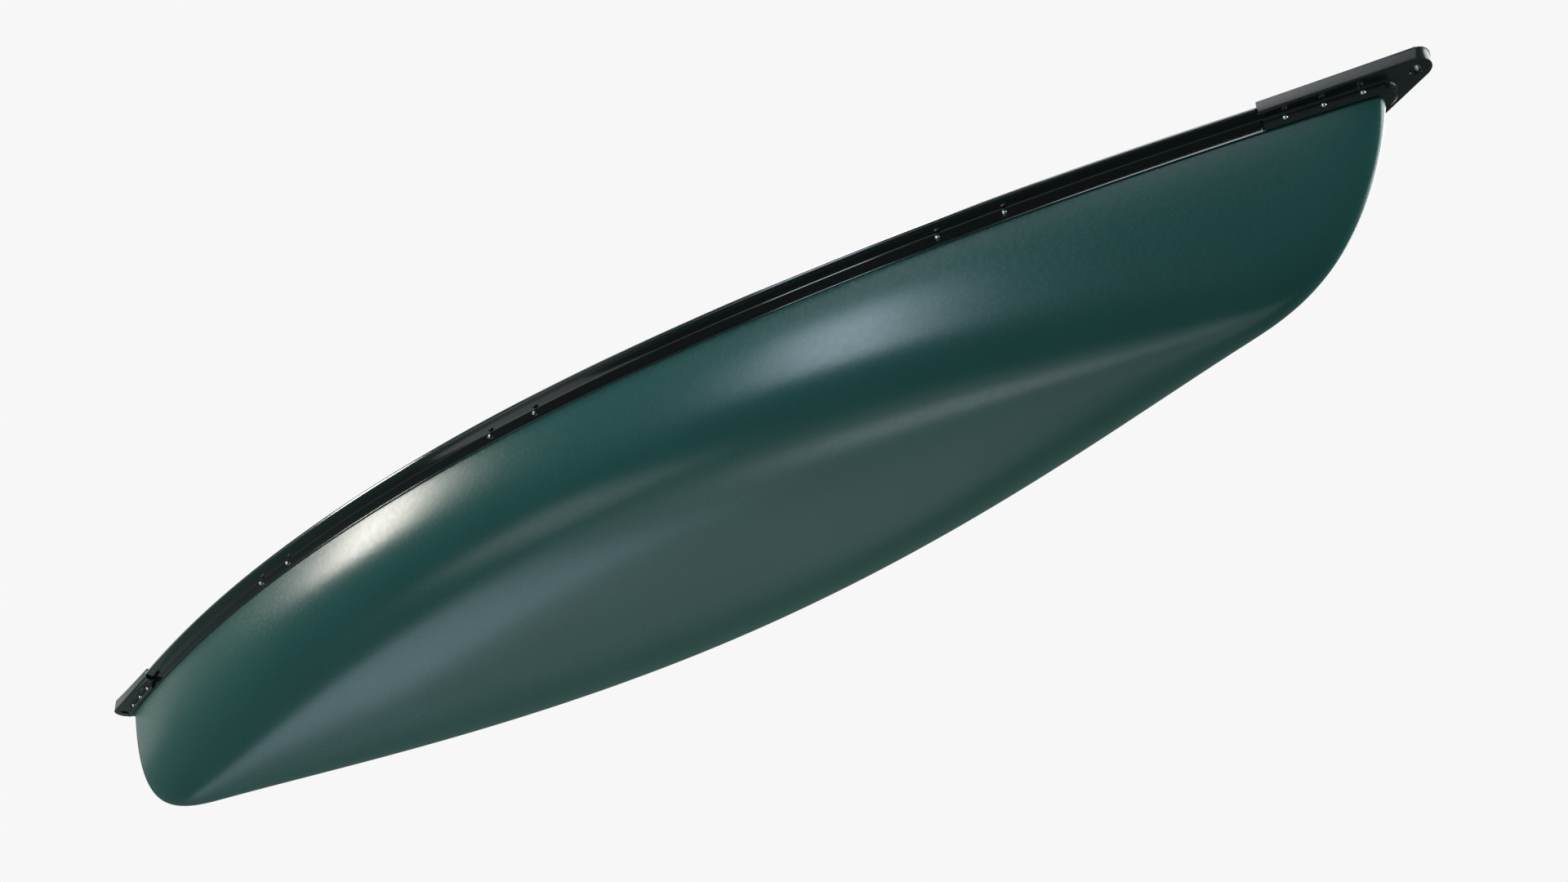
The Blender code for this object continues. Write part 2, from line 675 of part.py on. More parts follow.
def build_canoe():
    bolt_holes = [x for _, _, x in bolt_places()]
    rivet_holes = [x for _, _, x in rivet_places()]
    bolt_drill = drills("bolt_drills", bolt_holes, BOLT_DROP, BOLT_RADIUS + HOLE_GAP)
    rivet_drill = drills("rivet_drills", rivet_holes, RIVET_DROP, RIVET_SHANK_RADIUS + HOLE_GAP)

    hull = hull_wall("hull", PLASTIC_GREEN)
    combine(hull, "DIFFERENCE", bolt_drill)
    combine(hull, "DIFFERENCE", rivet_drill)
    slot = hull_wall("hull_slot")
    swell = slot.modifiers.new("slot clearance", "DISPLACE")
    swell.strength = SLOT_GAP
    swell.mid_level = 0.0

    reach = DECK_AFT - GAP
    for label, side in SIDES.items():
        along_rail(f"{label}_gunwale", BLACK_VINYL, side, -reach, reach, rail_section, bolt_drill)

    for end in (1, -1):
        deck = deck_slab(end)
        combine(deck, "UNION", deck_collar(end))
        for cutter in (deck_pocket(end), slot, rivet_drill, tow_hole(end)):
            combine(deck, "DIFFERENCE", cutter)

    for name in SEATS:
        seat(name, bolt_drill)
    yoke(bolt_drill)
    bolts_and_nuts()
    rivets()


clear_scene()
build_canoe()
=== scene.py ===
# %% [markdown]
# # An open canoe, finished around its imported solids
# A recreational canoe is a moulded hull with a black rail clamped over each edge, a moulded deck over each
# end, and two seats and a carrying yoke hung between the rails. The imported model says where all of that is
# and how big. This file makes the surfaces that a person looks at, one piece at a time, in the same frame
# and to the same sizes, and puts them in front of a camera.
# The frame has the bow at -X, the stern at +X, port (left) at -Y, and Z up, in metres.

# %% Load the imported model
import cmath
import json
import math

import bmesh
import bpy
import numpy as np
from mathutils import Matrix, Vector

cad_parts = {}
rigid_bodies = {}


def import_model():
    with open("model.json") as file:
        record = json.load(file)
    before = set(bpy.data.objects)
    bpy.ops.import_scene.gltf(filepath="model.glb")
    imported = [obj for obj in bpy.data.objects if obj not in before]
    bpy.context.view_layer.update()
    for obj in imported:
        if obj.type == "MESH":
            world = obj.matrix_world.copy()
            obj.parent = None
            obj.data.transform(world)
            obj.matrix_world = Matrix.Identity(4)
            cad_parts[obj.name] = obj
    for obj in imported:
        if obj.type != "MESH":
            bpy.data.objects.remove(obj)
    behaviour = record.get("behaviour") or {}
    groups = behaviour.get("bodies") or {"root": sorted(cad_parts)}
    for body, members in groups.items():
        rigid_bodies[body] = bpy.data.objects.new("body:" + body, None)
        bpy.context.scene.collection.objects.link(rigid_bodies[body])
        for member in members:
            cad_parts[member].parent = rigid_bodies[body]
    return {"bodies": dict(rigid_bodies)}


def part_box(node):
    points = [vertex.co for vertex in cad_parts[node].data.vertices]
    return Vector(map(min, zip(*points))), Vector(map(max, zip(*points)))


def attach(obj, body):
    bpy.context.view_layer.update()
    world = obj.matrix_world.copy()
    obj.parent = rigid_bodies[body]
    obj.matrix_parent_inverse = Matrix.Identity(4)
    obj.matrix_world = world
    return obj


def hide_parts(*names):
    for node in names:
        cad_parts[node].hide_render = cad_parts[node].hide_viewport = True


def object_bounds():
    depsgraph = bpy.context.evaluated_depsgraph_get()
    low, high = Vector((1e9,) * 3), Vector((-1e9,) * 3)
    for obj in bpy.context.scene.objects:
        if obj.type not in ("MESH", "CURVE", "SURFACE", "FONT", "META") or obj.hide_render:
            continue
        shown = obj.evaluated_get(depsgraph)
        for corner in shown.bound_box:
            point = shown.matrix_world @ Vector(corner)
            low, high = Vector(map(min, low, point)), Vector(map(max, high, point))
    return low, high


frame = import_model()
solid_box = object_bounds()
BODY = next(iter(frame["bodies"]))

# %% [markdown]
# ## Camera
# The canoe is seen from below and from the stern quarter on the port side, as if it hung over the viewer's
# head. The camera is turned in three steps, as a person would say them: heading, tilt and a slight roll.
# A camera with no turn looks straight down, so the tilt is counted from there.

# %% Camera
CAMERA_PLACE = (3.439, -3.556, -2.642)
HEADING, TILT, ROLL = (math.radians(angle) for angle in (39.473, 90 + 32.611, -1.688))
LENS_MM, SENSOR_MM = 50.35, 36.0


def add_object(name, data):
    """A new object in the scene that shows this data."""
    made = bpy.data.objects.new(name, data)
    bpy.context.scene.collection.objects.link(made)
    return made


camera = add_object("camera", bpy.data.cameras.new("camera"))
camera.data.lens, camera.data.sensor_width = LENS_MM, SENSOR_MM
turn = Matrix.Rotation(HEADING, 4, "Z") @ Matrix.Rotation(TILT, 4, "X") @ Matrix.Rotation(ROLL, 4, "Z")
camera.matrix_world = Matrix.Translation(CAMERA_PLACE) @ turn
camera.data.clip_start, camera.data.clip_end = 0.05, 500.0
bpy.context.scene.camera = camera
print(f"camera {Vector(CAMERA_PLACE).length:.2f} m from the keel's middle")

# %% [markdown]
# ## Studio
# A dark satin hull shows its shape by what it reflects, so the lights are soft panels set where their
# reflections should fall: a warm one off the bow quarter, a tall cool one abeam, and broad dim ones below.
# Panels high on the port side light the rail and the decks, and a large one off the stern draws the stem's
# edge. The last two are for the parts that this camera doesn't see: the far side and the inside.
# The room is dim and faintly green, but the camera itself sees a plain pale backdrop. The floor lies below
# every camera place. It is pale too, and gives no light, so it doesn't fill in the hull's shadows.


# %% Backdrop and room light
BACKDROP = 0.93
ROOM = (0.70, 1.0, 0.90, 1)
ROOM_STRENGTH = 0.17

world = bpy.data.worlds.new("studio")
world.use_nodes = True
bpy.context.scene.world = world
tree = world.node_tree
room, backdrop = tree.nodes["Background"], tree.nodes.new("ShaderNodeBackground")
room.inputs["Color"].default_value = ROOM
room.inputs["Strength"].default_value = ROOM_STRENGTH
backdrop.inputs["Color"].default_value = (1, 1, 1, 1)
backdrop.inputs["Strength"].default_value = BACKDROP
choose = tree.nodes.new("ShaderNodeMixShader")
ray = tree.nodes.new("ShaderNodeLightPath")
tree.links.new(ray.outputs["Is Camera Ray"], choose.inputs["Fac"])
tree.links.new(room.outputs["Background"], choose.inputs[1])
tree.links.new(backdrop.outputs["Background"], choose.inputs[2])
tree.links.new(choose.outputs["Shader"], tree.nodes["World Output"].inputs["Surface"])
bpy.context.scene.view_settings.view_transform = "Standard"
print(f"room light {ROOM_STRENGTH}, backdrop {BACKDROP}")


# %% Light panels
def panel(name, place, aim, width, height, watts, colour):
    """A soft rectangular light that stands at place and faces aim."""
    lamp = bpy.data.lights.new(name, "AREA")
    lamp.shape, lamp.size, lamp.size_y = "RECTANGLE", width, height
    lamp.energy, lamp.color = watts, colour
    stand = add_object(name, lamp)
    stand.location = place
    stand.rotation_euler = (Vector(aim) - Vector(place)).to_track_quat("-Z", "Y").to_euler()
    stand.visible_camera = False
    return stand


PANELS = (
    ("bow_quarter_panel", (-5.35, -3.3, 2.7), (-0.4, -0.4, 0.2), 1.1, 1.7, 112, (1.0, 0.94, 0.86)),
    ("port_panel", (0.0, -6.2, 0.8), (0.8, -0.4, 0.2), 1.1, 3.4, 125, (0.72, 0.87, 1.0)),
    ("rail_panel", (-0.5, -5.6, 6.3), (0.9, -0.4, 0.4), 2.2, 1.8, 150, (0.97, 0.97, 1.0)),
    ("long_rail_panel", (-0.7, -5.4, 6.2), (0.3, -0.4, 0.4), 8.6, 1.8, 85, (0.92, 0.95, 1.0)),
    ("stern_panel", (3.0, -5.5, 5.4), (2.0, -0.3, 0.4), 3.0, 1.4, 28, (0.88, 0.92, 1.0)),
    ("bow_panel", (-7.5, 0.6, 3.0), (-2.1, 0.0, 0.4), 2.0, 2.0, 5, (1.0, 1.0, 1.0)),
    ("under_bow_panel", (-5.0, 1.7, -4.2), (-0.9, -0.1, 0.0), 3.0, 3.0, 32, (0.60, 0.80, 1.0)),
    ("under_panel", (-2.1, 1.5, -5.4), (-0.3, 0.0, 0.0), 7.0, 10.0, 104, (0.88, 0.98, 1.0)),
    ("bilge_panel", (-3.9, -3.4, -4.4), (-0.6, -0.2, 0.1), 2.4, 2.4, 26, (0.95, 0.98, 1.0)),
    ("keel_panel", (-1.4, 0.0, -6.8), (0.5, 0.0, 0.0), 2.2, 2.2, 30, (0.90, 0.98, 1.0)),
    ("stem_panel", (6.0, 2.2, 1.9), (2.1, 0.0, 0.3), 4.5, 4.5, 380, (0.95, 0.98, 1.0)),
    ("starboard_panel", (3.0, 5.5, 3.2), (0.8, 0.0, 0.2), 3.0, 2.5, 120, (0.95, 0.98, 1.0)),
    ("overhead_panel", (0.0, 0.0, 5.0), (0.0, 0.0, 0.0), 5.0, 3.0, 220, (1.0, 1.0, 1.0)),
)
for setting in PANELS:
    panel(*setting)
print(f"{len(PANELS)} light panels")


# %% Floor
FLOOR_DROP, FLOOR_SIZE, FLOOR_GLOW = 13.0, 400.0, 0.80


def as_object(name, bm):
    """Moves a bmesh into a new object in the scene."""
    mesh = bpy.data.meshes.new(name)
    bm.to_mesh(mesh)
    bm.free()
    return add_object(name, mesh)


bm = bmesh.new()
bmesh.ops.create_grid(bm, x_segments=1, y_segments=1, size=FLOOR_SIZE / 2)
bmesh.ops.translate(bm, verts=bm.verts, vec=(0, 0, solid_box[0].z - FLOOR_DROP))
floor = as_object("floor", bm)
floor.visible_diffuse = floor.visible_glossy = False
pale = bpy.data.materials.new("pale_floor")
pale.use_nodes = True
shader = pale.node_tree.nodes["Principled BSDF"]
shader.inputs["Base Color"].default_value = (0.5, 0.5, 0.5, 1)
shader.inputs["Roughness"].default_value = 0.9
shader.inputs["Specular IOR Level"].default_value = 0.0
shader.inputs["Emission Color"].default_value = (1, 1, 1, 1)
shader.inputs["Emission Strength"].default_value = FLOOR_GLOW
floor.data.materials.append(pale)
print(f"floor {FLOOR_DROP} m below the keel")

# %% [markdown]
# ## The hull's lines
# A canoe is drawn with three long curves: how wide it is at the rail, how high the rail stands (the sheer)
# and where the keel runs, with the stem's curve at each end. The sections between them change slowly from
# a flat, full bottom amidships to a narrow V at the stems. These are the same formulas as the solids', so
# the finished surface lies exactly over them, only with many more points.

# %% Curves of the hull
HALF_LENGTH, HALF_BEAM, STEM_HALF_WIDTH = 2.190, 0.473, 0.0185
CENTRE_DEPTH, SHEER_RISE, SHEER_POWER = 0.358, 0.1215, 1.80
END_ROCKER, ROCKER_POWER = 0.042, 2.5
STEM_LENGTH, STEM_ROUNDING = 0.449, (2.87, 1.467)
PLAN_FULLNESS = (1.90, 1.015)
SECTION_SIDE, SECTION_FLOOR, SECTION_CHANGE = (2.81, 1.535), (3.31, 1.65), 2.36
WALL, GAP = 0.006, 0.0003
END_DEPTH = CENTRE_DEPTH + SHEER_RISE
STEM_START = HALF_LENGTH - STEM_LENGTH


def breadth(x):
    """Half breadth of the hull's outer face at the rail."""
    fill = (1.0 - np.minimum(1.0, np.abs(x) / HALF_LENGTH) ** PLAN_FULLNESS[0]) ** PLAN_FULLNESS[1]
    return STEM_HALF_WIDTH + (HALF_BEAM - STEM_HALF_WIDTH) * fill


def plan_slope(x, step=1e-4):
    return float(breadth(x + step) - breadth(x - step)) / (2 * step)


def sheer(x):
    """Height of the rail's top edge."""
    return CENTRE_DEPTH + SHEER_RISE * np.abs(x / HALF_LENGTH) ** SHEER_POWER


def keel(x, inset=0.0):
    """Height of the keel and stem line of a skin this far inside the outer face."""
    start, end = STEM_ROUNDING
    u = np.clip((np.abs(x) - STEM_START) / (HALF_LENGTH - inset - STEM_START), 0, 1)
    rise = END_ROCKER * (np.abs(x) / HALF_LENGTH) ** ROCKER_POWER
    return rise + (END_DEPTH - END_ROCKER) * (1 - (1 - u**start) ** (1 / end)) + inset


def side_curve(x, part, inset=0.0):
    """Half breadth of a skin at this part of the way up from the keel to the rail's top."""
    blend = (abs(x) / HALF_LENGTH) ** SECTION_CHANGE
    m = SECTION_SIDE[0] + (SECTION_SIDE[1] - SECTION_SIDE[0]) * blend
    k = SECTION_FLOOR[0] + (SECTION_FLOOR[1] - SECTION_FLOOR[0]) * blend
    return (breadth(x) - inset) * (1 - (1 - part) ** m) ** (1 / k)


hull_low, hull_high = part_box("hull")
print(f"hull {2 * HALF_BEAM:.3f} m wide by the formula, {hull_high.y - hull_low.y:.3f} m in the solid")

# %% [markdown]
# ## From a bmesh to a finished piece
# Every piece ends in the same way: faces are turned outwards, the mesh goes into an object at the origin,
# it gets its finish, it rides on the canoe's one body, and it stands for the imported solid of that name.
# Smooth shading stops at edges sharper than a given angle, so a flat stays flat.


# %% Finishing helper
triangles = {}


def finish(name, bm, look, node=None, sharp=35):
    """Makes the object of a piece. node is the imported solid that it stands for."""
    bmesh.ops.recalc_face_normals(bm, faces=bm.faces)
    piece = as_object(name, bm)
    piece.data.shade_smooth()
    piece.data.set_sharp_from_angle(angle=math.radians(sharp))
    piece.data.materials.append(look)
    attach(piece, BODY)
    if node:
        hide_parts(node)
    triangles[name] = sum(len(face.vertices) - 2 for face in piece.data.polygons)
    return piece


# %% Loft, round edges and rounded outline
def loft(bm, rings):
    """A closed solid through equal outlines: one face, extruded and reshaped from ring to ring."""
    face = bm.faces.new([bm.verts.new(point) for point in rings[0]])
    for number, ring in enumerate(rings[1:]):
        grown = bmesh.ops.extrude_face_region(bm, geom=[face])["geom"]
        if number:
            bmesh.ops.delete(bm, geom=[face], context="FACES_ONLY")
        face = next(item for item in grown if isinstance(item, bmesh.types.BMFace))
        for vert, point in zip(face.verts, ring):
            vert.co = point


def round_edges(bm, edges, radius, segments=5):
    """Bevels edges into arcs of this radius."""
    bmesh.ops.bevel(bm, geom=edges, offset=radius, segments=segments, profile=0.5, affect="EDGES",
                    material=-1)


def rise(edge):
    """Height between an edge's two ends."""
    return abs(edge.verts[0].co.z - edge.verts[1].co.z)


def rounded(corners, steps=4, closed=True):
    """A line through corners given as (across, up, radius), each corner replaced by an arc."""
    points = [complex(across, up) for across, up, _ in corners]
    line = []
    for number, (_, _, radius) in enumerate(corners):
        here = points[number]
        is_end = not closed and number in (0, len(corners) - 1)
        if is_end or radius == 0:
            line.append(here)
            continue
        back, ahead = points[number - 1] - here, points[(number + 1) % len(points)] - here
        back, ahead = back / abs(back), ahead / abs(ahead)
        if abs(back + ahead) < 1e-6:
            line.append(here)
            continue
        half = abs(cmath.phase(ahead / back)) / 2
        centre = here + (back + ahead) / abs(back + ahead) * radius / math.sin(half)
        first = here + back * radius / math.tan(half) - centre
        last = here + ahead * radius / math.tan(half) - centre
        turn = cmath.phase(last / first) / steps
        line += [centre + first * cmath.exp(1j * turn * step) for step in range(steps + 1)]
    return [(point.real, point.imag) for point in line]


# %% Pieces turned on a lathe
def merge(bm, part):
    """Adds everything in part to bm, and frees part."""
    mesh = bpy.data.meshes.new("part")
    part.to_mesh(mesh)
    part.free()
    bm.from_mesh(mesh)
    bpy.data.meshes.remove(mesh)


def lathe(bm, profile, place, axis, steps):
    """Spins a profile of (along, radius) points about an axis through place, apart from what bm holds."""
    part = bmesh.new()
    verts = [part.verts.new((radius, 0, along)) for along, radius in profile]
    edges = [part.edges.new(pair) for pair in zip(verts, verts[1:])]
    bmesh.ops.spin(
        part, geom=verts + edges, axis=(0, 0, 1), cent=(0, 0, 0), angle=math.tau, steps=steps,
        use_merge=True,
    )
    bmesh.ops.remove_doubles(part, verts=part.verts, dist=1e-6)
    turn = axis.to_track_quat("Z", "Y").to_matrix().to_4x4()
    bmesh.ops.transform(part, matrix=Matrix.Translation(place) @ turn, verts=part.verts)
    merge(bm, part)


# %% [markdown]
# ## Finishes
# Each finish is a node material that reads Object coordinates, so its grain has a real size in metres and
# stays put on the piece. A small toolbox keeps the node wiring short: noise at a given size, colour and
# roughness driven by it, and bumps. What is the same all over, such as a clear layer, is set on the shader.


# %% Material toolbox
class Finish:
    """A node material under construction, with short names for the nodes that the finishes share."""

    def __init__(self, name, **settings):
        self.material = bpy.data.materials.new(name)
        self.material.use_nodes = True
        self.nodes, self.links = self.material.node_tree.nodes, self.material.node_tree.links
        self.shader = self.nodes["Principled BSDF"]
        self.place = self.nodes.new("ShaderNodeTexCoord").outputs["Object"]
        for socket, value in settings.items():
            self.shader.inputs[socket.replace("_", " ")].default_value = value

    def stretch(self, scale):
        """Object coordinates, scaled along each axis."""
        node = self.nodes.new("ShaderNodeMapping")
        node.inputs["Scale"].default_value = scale
        self.links.new(self.place, node.inputs["Vector"])
        return node.outputs["Vector"]

    def noise(self, grain, detail=2.0, where=None, rough=0.5, twist=0.0):
        """Noise whose patches are about grain metres across."""
        node = self.nodes.new("ShaderNodeTexNoise")
        node.inputs["Scale"].default_value = 1 / grain
        node.inputs["Detail"].default_value = detail
        node.inputs["Roughness"].default_value = rough
        node.inputs["Distortion"].default_value = twist
        self.links.new(where or self.place, node.inputs["Vector"])
        return node.outputs["Fac"]

    def colour(self, value, *stops):
        """Colours the piece by a value, between stops that are each (position, colour)."""
        node = self.nodes.new("ShaderNodeValToRGB")
        band = node.color_ramp
        while len(band.elements) < len(stops):
            band.elements.new(0.5)
        for element, (position, colour) in zip(band.elements, stops):
            element.position, element.color = position, (*colour, 1)
        self.links.new(value, node.inputs["Fac"])
        self.links.new(node.outputs["Color"], self.shader.inputs["Base Color"])

    def spread(self, value, low, high):
        """Maps a value of 0 to 1 onto low to high."""
        node = self.nodes.new("ShaderNodeMapRange")
        node.inputs["To Min"].default_value, node.inputs["To Max"].default_value = low, high
        self.links.new(value, node.inputs["Value"])
        return node.outputs["Result"]

    def maths(self, kind, first, second):
        node = self.nodes.new("ShaderNodeMath")
        node.operation = kind
        for socket, value in zip(node.inputs, (first, second)):
            if isinstance(value, float):
                socket.default_value = value
            else:
                self.links.new(value, socket)
        return node.outputs["Value"]

    def roughen(self, value, low, high):
        """Roughness from low to high, by a value of 0 to 1."""
        self.links.new(self.spread(value, low, high), self.shader.inputs["Roughness"])

    def bump(self, height, depth, strength=1.0):
        """Bumps of this height in metres; several are chained, the coarse one first."""
        node = self.nodes.new("ShaderNodeBump")
        node.inputs["Strength"].default_value = strength
        node.inputs["Distance"].default_value = depth
        self.links.new(height, node.inputs["Height"])
        normal = self.shader.inputs["Normal"]
        if normal.links:
            self.links.new(normal.links[0].from_socket, node.inputs["Normal"])
        self.links.new(node.outputs["Normal"], normal)


# %% [markdown]
# ### Moulded hull plastic
# Rotomoulded polyethylene comes out of the mould with a satin skin: dark green, a little cloudy in tone,
# with a very fine pebble that softens reflections and a slow waviness where the wall has shrunk. The
# clouding, the pebble and the waviness are three noises of very different sizes.

# %% Hull plastic
hull_plastic = Finish("moulded_green_plastic", Specular_IOR_Level=0.55, IOR=1.5)
clouds = hull_plastic.noise(0.35, detail=3.0)
hull_plastic.colour(clouds, (0.30, (0.010, 0.074, 0.067)), (0.72, (0.012, 0.084, 0.076)))
hull_plastic.roughen(hull_plastic.noise(0.012, detail=3.0), 0.23, 0.31)
hull_plastic.bump(hull_plastic.noise(0.22, detail=1.0), 0.0006)
hull_plastic.bump(hull_plastic.noise(0.0016, detail=2.0), 0.00004)
print("hull plastic ready")

# %% [markdown]
# ### Black rail vinyl and deck plastic
# The rails are extruded, so their gloss is broken only by faint lines along the run, which noise stretched
# along X gives. The decks are injection moulded with a fine even stipple, and are duller.

# %% Black plastics
rail_vinyl = Finish("extruded_black_vinyl", Specular_IOR_Level=0.8, Coat_Weight=1.0, Coat_Roughness=0.06)
drawn = rail_vinyl.stretch((0.02, 1, 1))
streaks = rail_vinyl.noise(0.004, where=drawn)
rail_vinyl.colour(streaks, (0.3, (0.006, 0.006, 0.007)), (0.7, (0.010, 0.010, 0.011)))
rail_vinyl.roughen(rail_vinyl.noise(0.0015, where=drawn), 0.08, 0.16)
rail_vinyl.bump(rail_vinyl.noise(0.003, where=drawn), 0.000015)

deck_plastic = Finish("moulded_black_plastic", Specular_IOR_Level=0.6)
clouds = deck_plastic.noise(0.02, detail=3.0)
deck_plastic.colour(clouds, (0.3, (0.009, 0.009, 0.010)), (0.7, (0.014, 0.014, 0.016)))
deck_plastic.roughen(deck_plastic.noise(0.004), 0.18, 0.28)
deck_plastic.bump(deck_plastic.noise(0.0008), 0.00002)
print("black plastics ready")

# %% [markdown]
# ### Metals
# The bolts and rivets are turned stainless steel, nearly plain but with a haze of fine wear. The brackets
# are rolled aluminium plate with its grain along the canoe.

# %% Metals
steel = Finish("stainless_steel", Metallic=1.0)
steel.colour(steel.noise(0.004, detail=3.0), (0.3, (0.66, 0.66, 0.67)), (0.7, (0.82, 0.82, 0.83)))
steel.roughen(steel.noise(0.0012), 0.18, 0.34)
steel.bump(steel.noise(0.0009), 0.00002)

plate_metal = Finish("rolled_aluminium", Metallic=1.0)
rolled = plate_metal.stretch((0.03, 1, 1))
grain = plate_metal.noise(0.0012, where=rolled)
plate_metal.colour(grain, (0.3, (0.42, 0.43, 0.44)), (0.7, (0.58, 0.59, 0.60)))
plate_metal.roughen(grain, 0.30, 0.48)
plate_metal.bump(plate_metal.noise(0.0008, where=rolled), 0.00002)
print("metals ready")

# %% [markdown]
# ### Oiled ash
# Ash is ring porous: broad pale bands with darker lines of open pores between them.
# The grain runs along each bar, so one finish is made for bars across the canoe and one for the stiles,
# which run along it. Noise stretched along the bar makes the bands; a much finer one makes the pores.


# %% Ash
def ash(name, along):
    """Oiled ash whose grain runs along X or Y."""
    made = Finish(name, Specular_IOR_Level=0.4, Coat_Weight=0.15, Coat_Roughness=0.25)
    scale = [0.05 if axis == along else 1.0 for axis in "XYZ"]
    bands = made.noise(0.009, detail=2.0, where=made.stretch(scale), twist=0.8)
    scale = [0.03 if axis == along else 1.0 for axis in "XYZ"]
    pores = made.noise(0.0011, detail=2.0, where=made.stretch(scale))
    grain = made.maths("ADD", made.maths("MULTIPLY", bands, 0.72), made.maths("MULTIPLY", pores, 0.28))
    made.colour(grain, (0.36, (0.30, 0.155, 0.062)), (0.46, (0.50, 0.29, 0.13)),
                (0.62, (0.62, 0.40, 0.20)))
    made.roughen(pores, 0.52, 0.36)
    made.bump(pores, 0.0002)
    return made.material


ash_across, ash_along = ash("oiled_ash_across", "Y"), ash("oiled_ash_along", "X")
print("ash ready")

# %% [markdown]
# ### Woven nylon
# Seat webbing is a plain weave of thick black yarn. Two crossed sine waves, 1.6 mm apart, make the
# over-and-under of the yarns, and a fine noise makes the fuzz. The same waves also set the colour: it is
# darker in the weave's hollows and lighter on its raised crossings, which is painted shade and painted light.
# Adding the height to both directions keeps the weave running where a strap turns down round the frame.

# %% Nylon webbing
YARN = 0.0016

nylon = Finish("woven_black_nylon", Specular_IOR_Level=0.3, Sheen_Weight=0.25, Sheen_Roughness=0.5)
parts = nylon.nodes.new("ShaderNodeSeparateXYZ")
nylon.links.new(nylon.place, parts.inputs["Vector"])
waves = []
for axis in ("X", "Y"):
    run = nylon.maths("ADD", parts.outputs[axis], parts.outputs["Z"])
    waves.append(nylon.maths("SINE", nylon.maths("MULTIPLY", run, math.tau / YARN), 0.0))
weave = nylon.maths("MULTIPLY", *waves)
lift = nylon.spread(weave, 0.35, 0.65)
# Painted shade and light: the yarn is one black, but its colour is darkened in the weave's hollows and
# lightened on the raised crossings.
nylon.colour(lift, (0.0, (0.004, 0.004, 0.005)), (1.0, (0.022, 0.022, 0.024)))
nylon.roughen(nylon.noise(0.003), 0.55, 0.75)
nylon.bump(weave, 0.0003, strength=0.8)
print("nylon ready")

# %% [markdown]
# ## Hull shell
# The hull is one wall between two skins. Each skin is a grid laid over the curves: columns are stations
# along the canoe and rows run from rim to rim under the keel. The stations crowd towards the stems and the
# rows towards the bilge, because that is where the surface turns. The two skins are bridged at the rim.

# %% Hull shell
STATIONS, GIRTH, RAIL_LIP = 240, 44, 0.009
TURN_WEIGHT, FINE_STEPS, MERGE = 0.10, 500, 1e-5


def rim_height(x):
    return sheer(x) - RAIL_LIP - GAP


def stem_end(inset):
    """Where the stem line reaches the rim."""
    runs = np.linspace(STEM_START, HALF_LENGTH - inset, 20001)
    return float(runs[np.argmax(keel(runs, inset) >= rim_height(runs))])


def crowd(line, count):
    """Points along a measured line, evenly by length plus a weight for how much it turns."""
    step = np.hypot(*np.diff(line, axis=0).T)
    angle = np.unwrap(np.arctan2(*np.diff(line, axis=0).T[::-1]))
    turn = np.abs(np.diff(angle, append=angle[-1]))
    run = np.concatenate([[0], np.cumsum(step + TURN_WEIGHT * turn)])
    at = np.linspace(0, run[-1], count)
    return np.column_stack([np.interp(at, run, line[:, axis]) for axis in (0, 1)])


def section(x, inset):
    """Points (y, z) from the keel to the rim."""
    low, top = float(keel(x, inset)), float(sheer(x))
    part = max(1e-9, float(rim_height(x)) - low) / (top - low) * np.linspace(0, 1, FINE_STEPS) ** 4
    line = np.column_stack([side_curve(x, part, inset), low + (top - low) * part])
    return crowd(line, GIRTH + 1)


def add_skin(bm, inset, first=0.0):
    """A grid over one face of the wall, from the station first to the stem, or from stem to stem."""
    curved = STEM_START + (stem_end(inset) - STEM_START) * (1 - np.linspace(1, 0, 4 * FINE_STEPS) ** 3)
    flat = np.linspace(first, STEM_START, 200)[:-1] if first < STEM_START else []
    along = np.concatenate([flat, curved[curved > first]])
    places = crowd(np.column_stack([along, keel(along, inset)]), STATIONS // 2)[:, 0]
    if not first:
        places = np.concatenate([-places[:0:-1], places])
    outlines = [section(x, inset) for x in places]
    before = set(bm.verts)
    bmesh.ops.create_grid(bm, x_segments=len(places) - 1, y_segments=2 * GIRTH, size=1)
    for vert in set(bm.verts) - before:
        column = round((vert.co.x + 1) / 2 * (len(places) - 1))
        row = round((vert.co.y + 1) * GIRTH) - GIRTH
        y, z = outlines[column][abs(row)]
        vert.co = (places[column], math.copysign(y, row), z)


bm = bmesh.new()
for inset in (0.0, WALL):
    add_skin(bm, inset)
bmesh.ops.remove_doubles(bm, verts=bm.verts, dist=MERGE)
bmesh.ops.dissolve_degenerate(bm, edges=bm.edges, dist=MERGE)
bmesh.ops.bridge_loops(bm, edges=[edge for edge in bm.edges if edge.is_boundary])
finish("hull_shell", bm, hull_plastic.material, "hull", sharp=50)
print(f"hull shell: {triangles['hull_shell']} triangles, stem at {stem_end(0):.4f} m")

# %% [markdown]
# ## Gunwale rails
# Each rail is one vinyl extrusion: a crowned flange with a web on each side of the hull's edge. Its outline
# is written once, with a radius at every corner, as distances out from the hull and up from the rail's top.
# The outer web's face is a touch hollow above its foot. The outline is then carried along the hull's side.
# The inner web clears the lean of that side, and the flange narrows towards the stems.

# %% Rail outline
RAIL_OUT, RAIL_TAPER, RAIL_IN = 0.042, 0.0055, 0.010
RAIL_CROWN, RAIL_EDGE = 0.003, 0.003
WEB, WEB_DEPTH = 0.003, 0.0435
WEB_HOLLOW, WEB_TOP, WEB_FOOT = 0.0005, -0.020, 0.0014
TOE_ROUND, TOE_EDGE, SLOT_EDGE = 0.0012, 0.0010, 0.0003
LIP_ROUND, ROOT_FILLET, INNER_FILLET = 0.0018, 0.0020, 0.0015
DECK_ON_HULL = 0.233
DECK_AFT = HALF_LENGTH - DECK_ON_HULL
SIDES = {"left": -1, "right": 1}


def inner_web(x):
    """The inner web's outer face, from the hull's outer face."""
    part = 1 - WEB_DEPTH / (sheer(x) - keel(x, WALL))
    return -float(GAP + breadth(x) - side_curve(x, part, WALL))


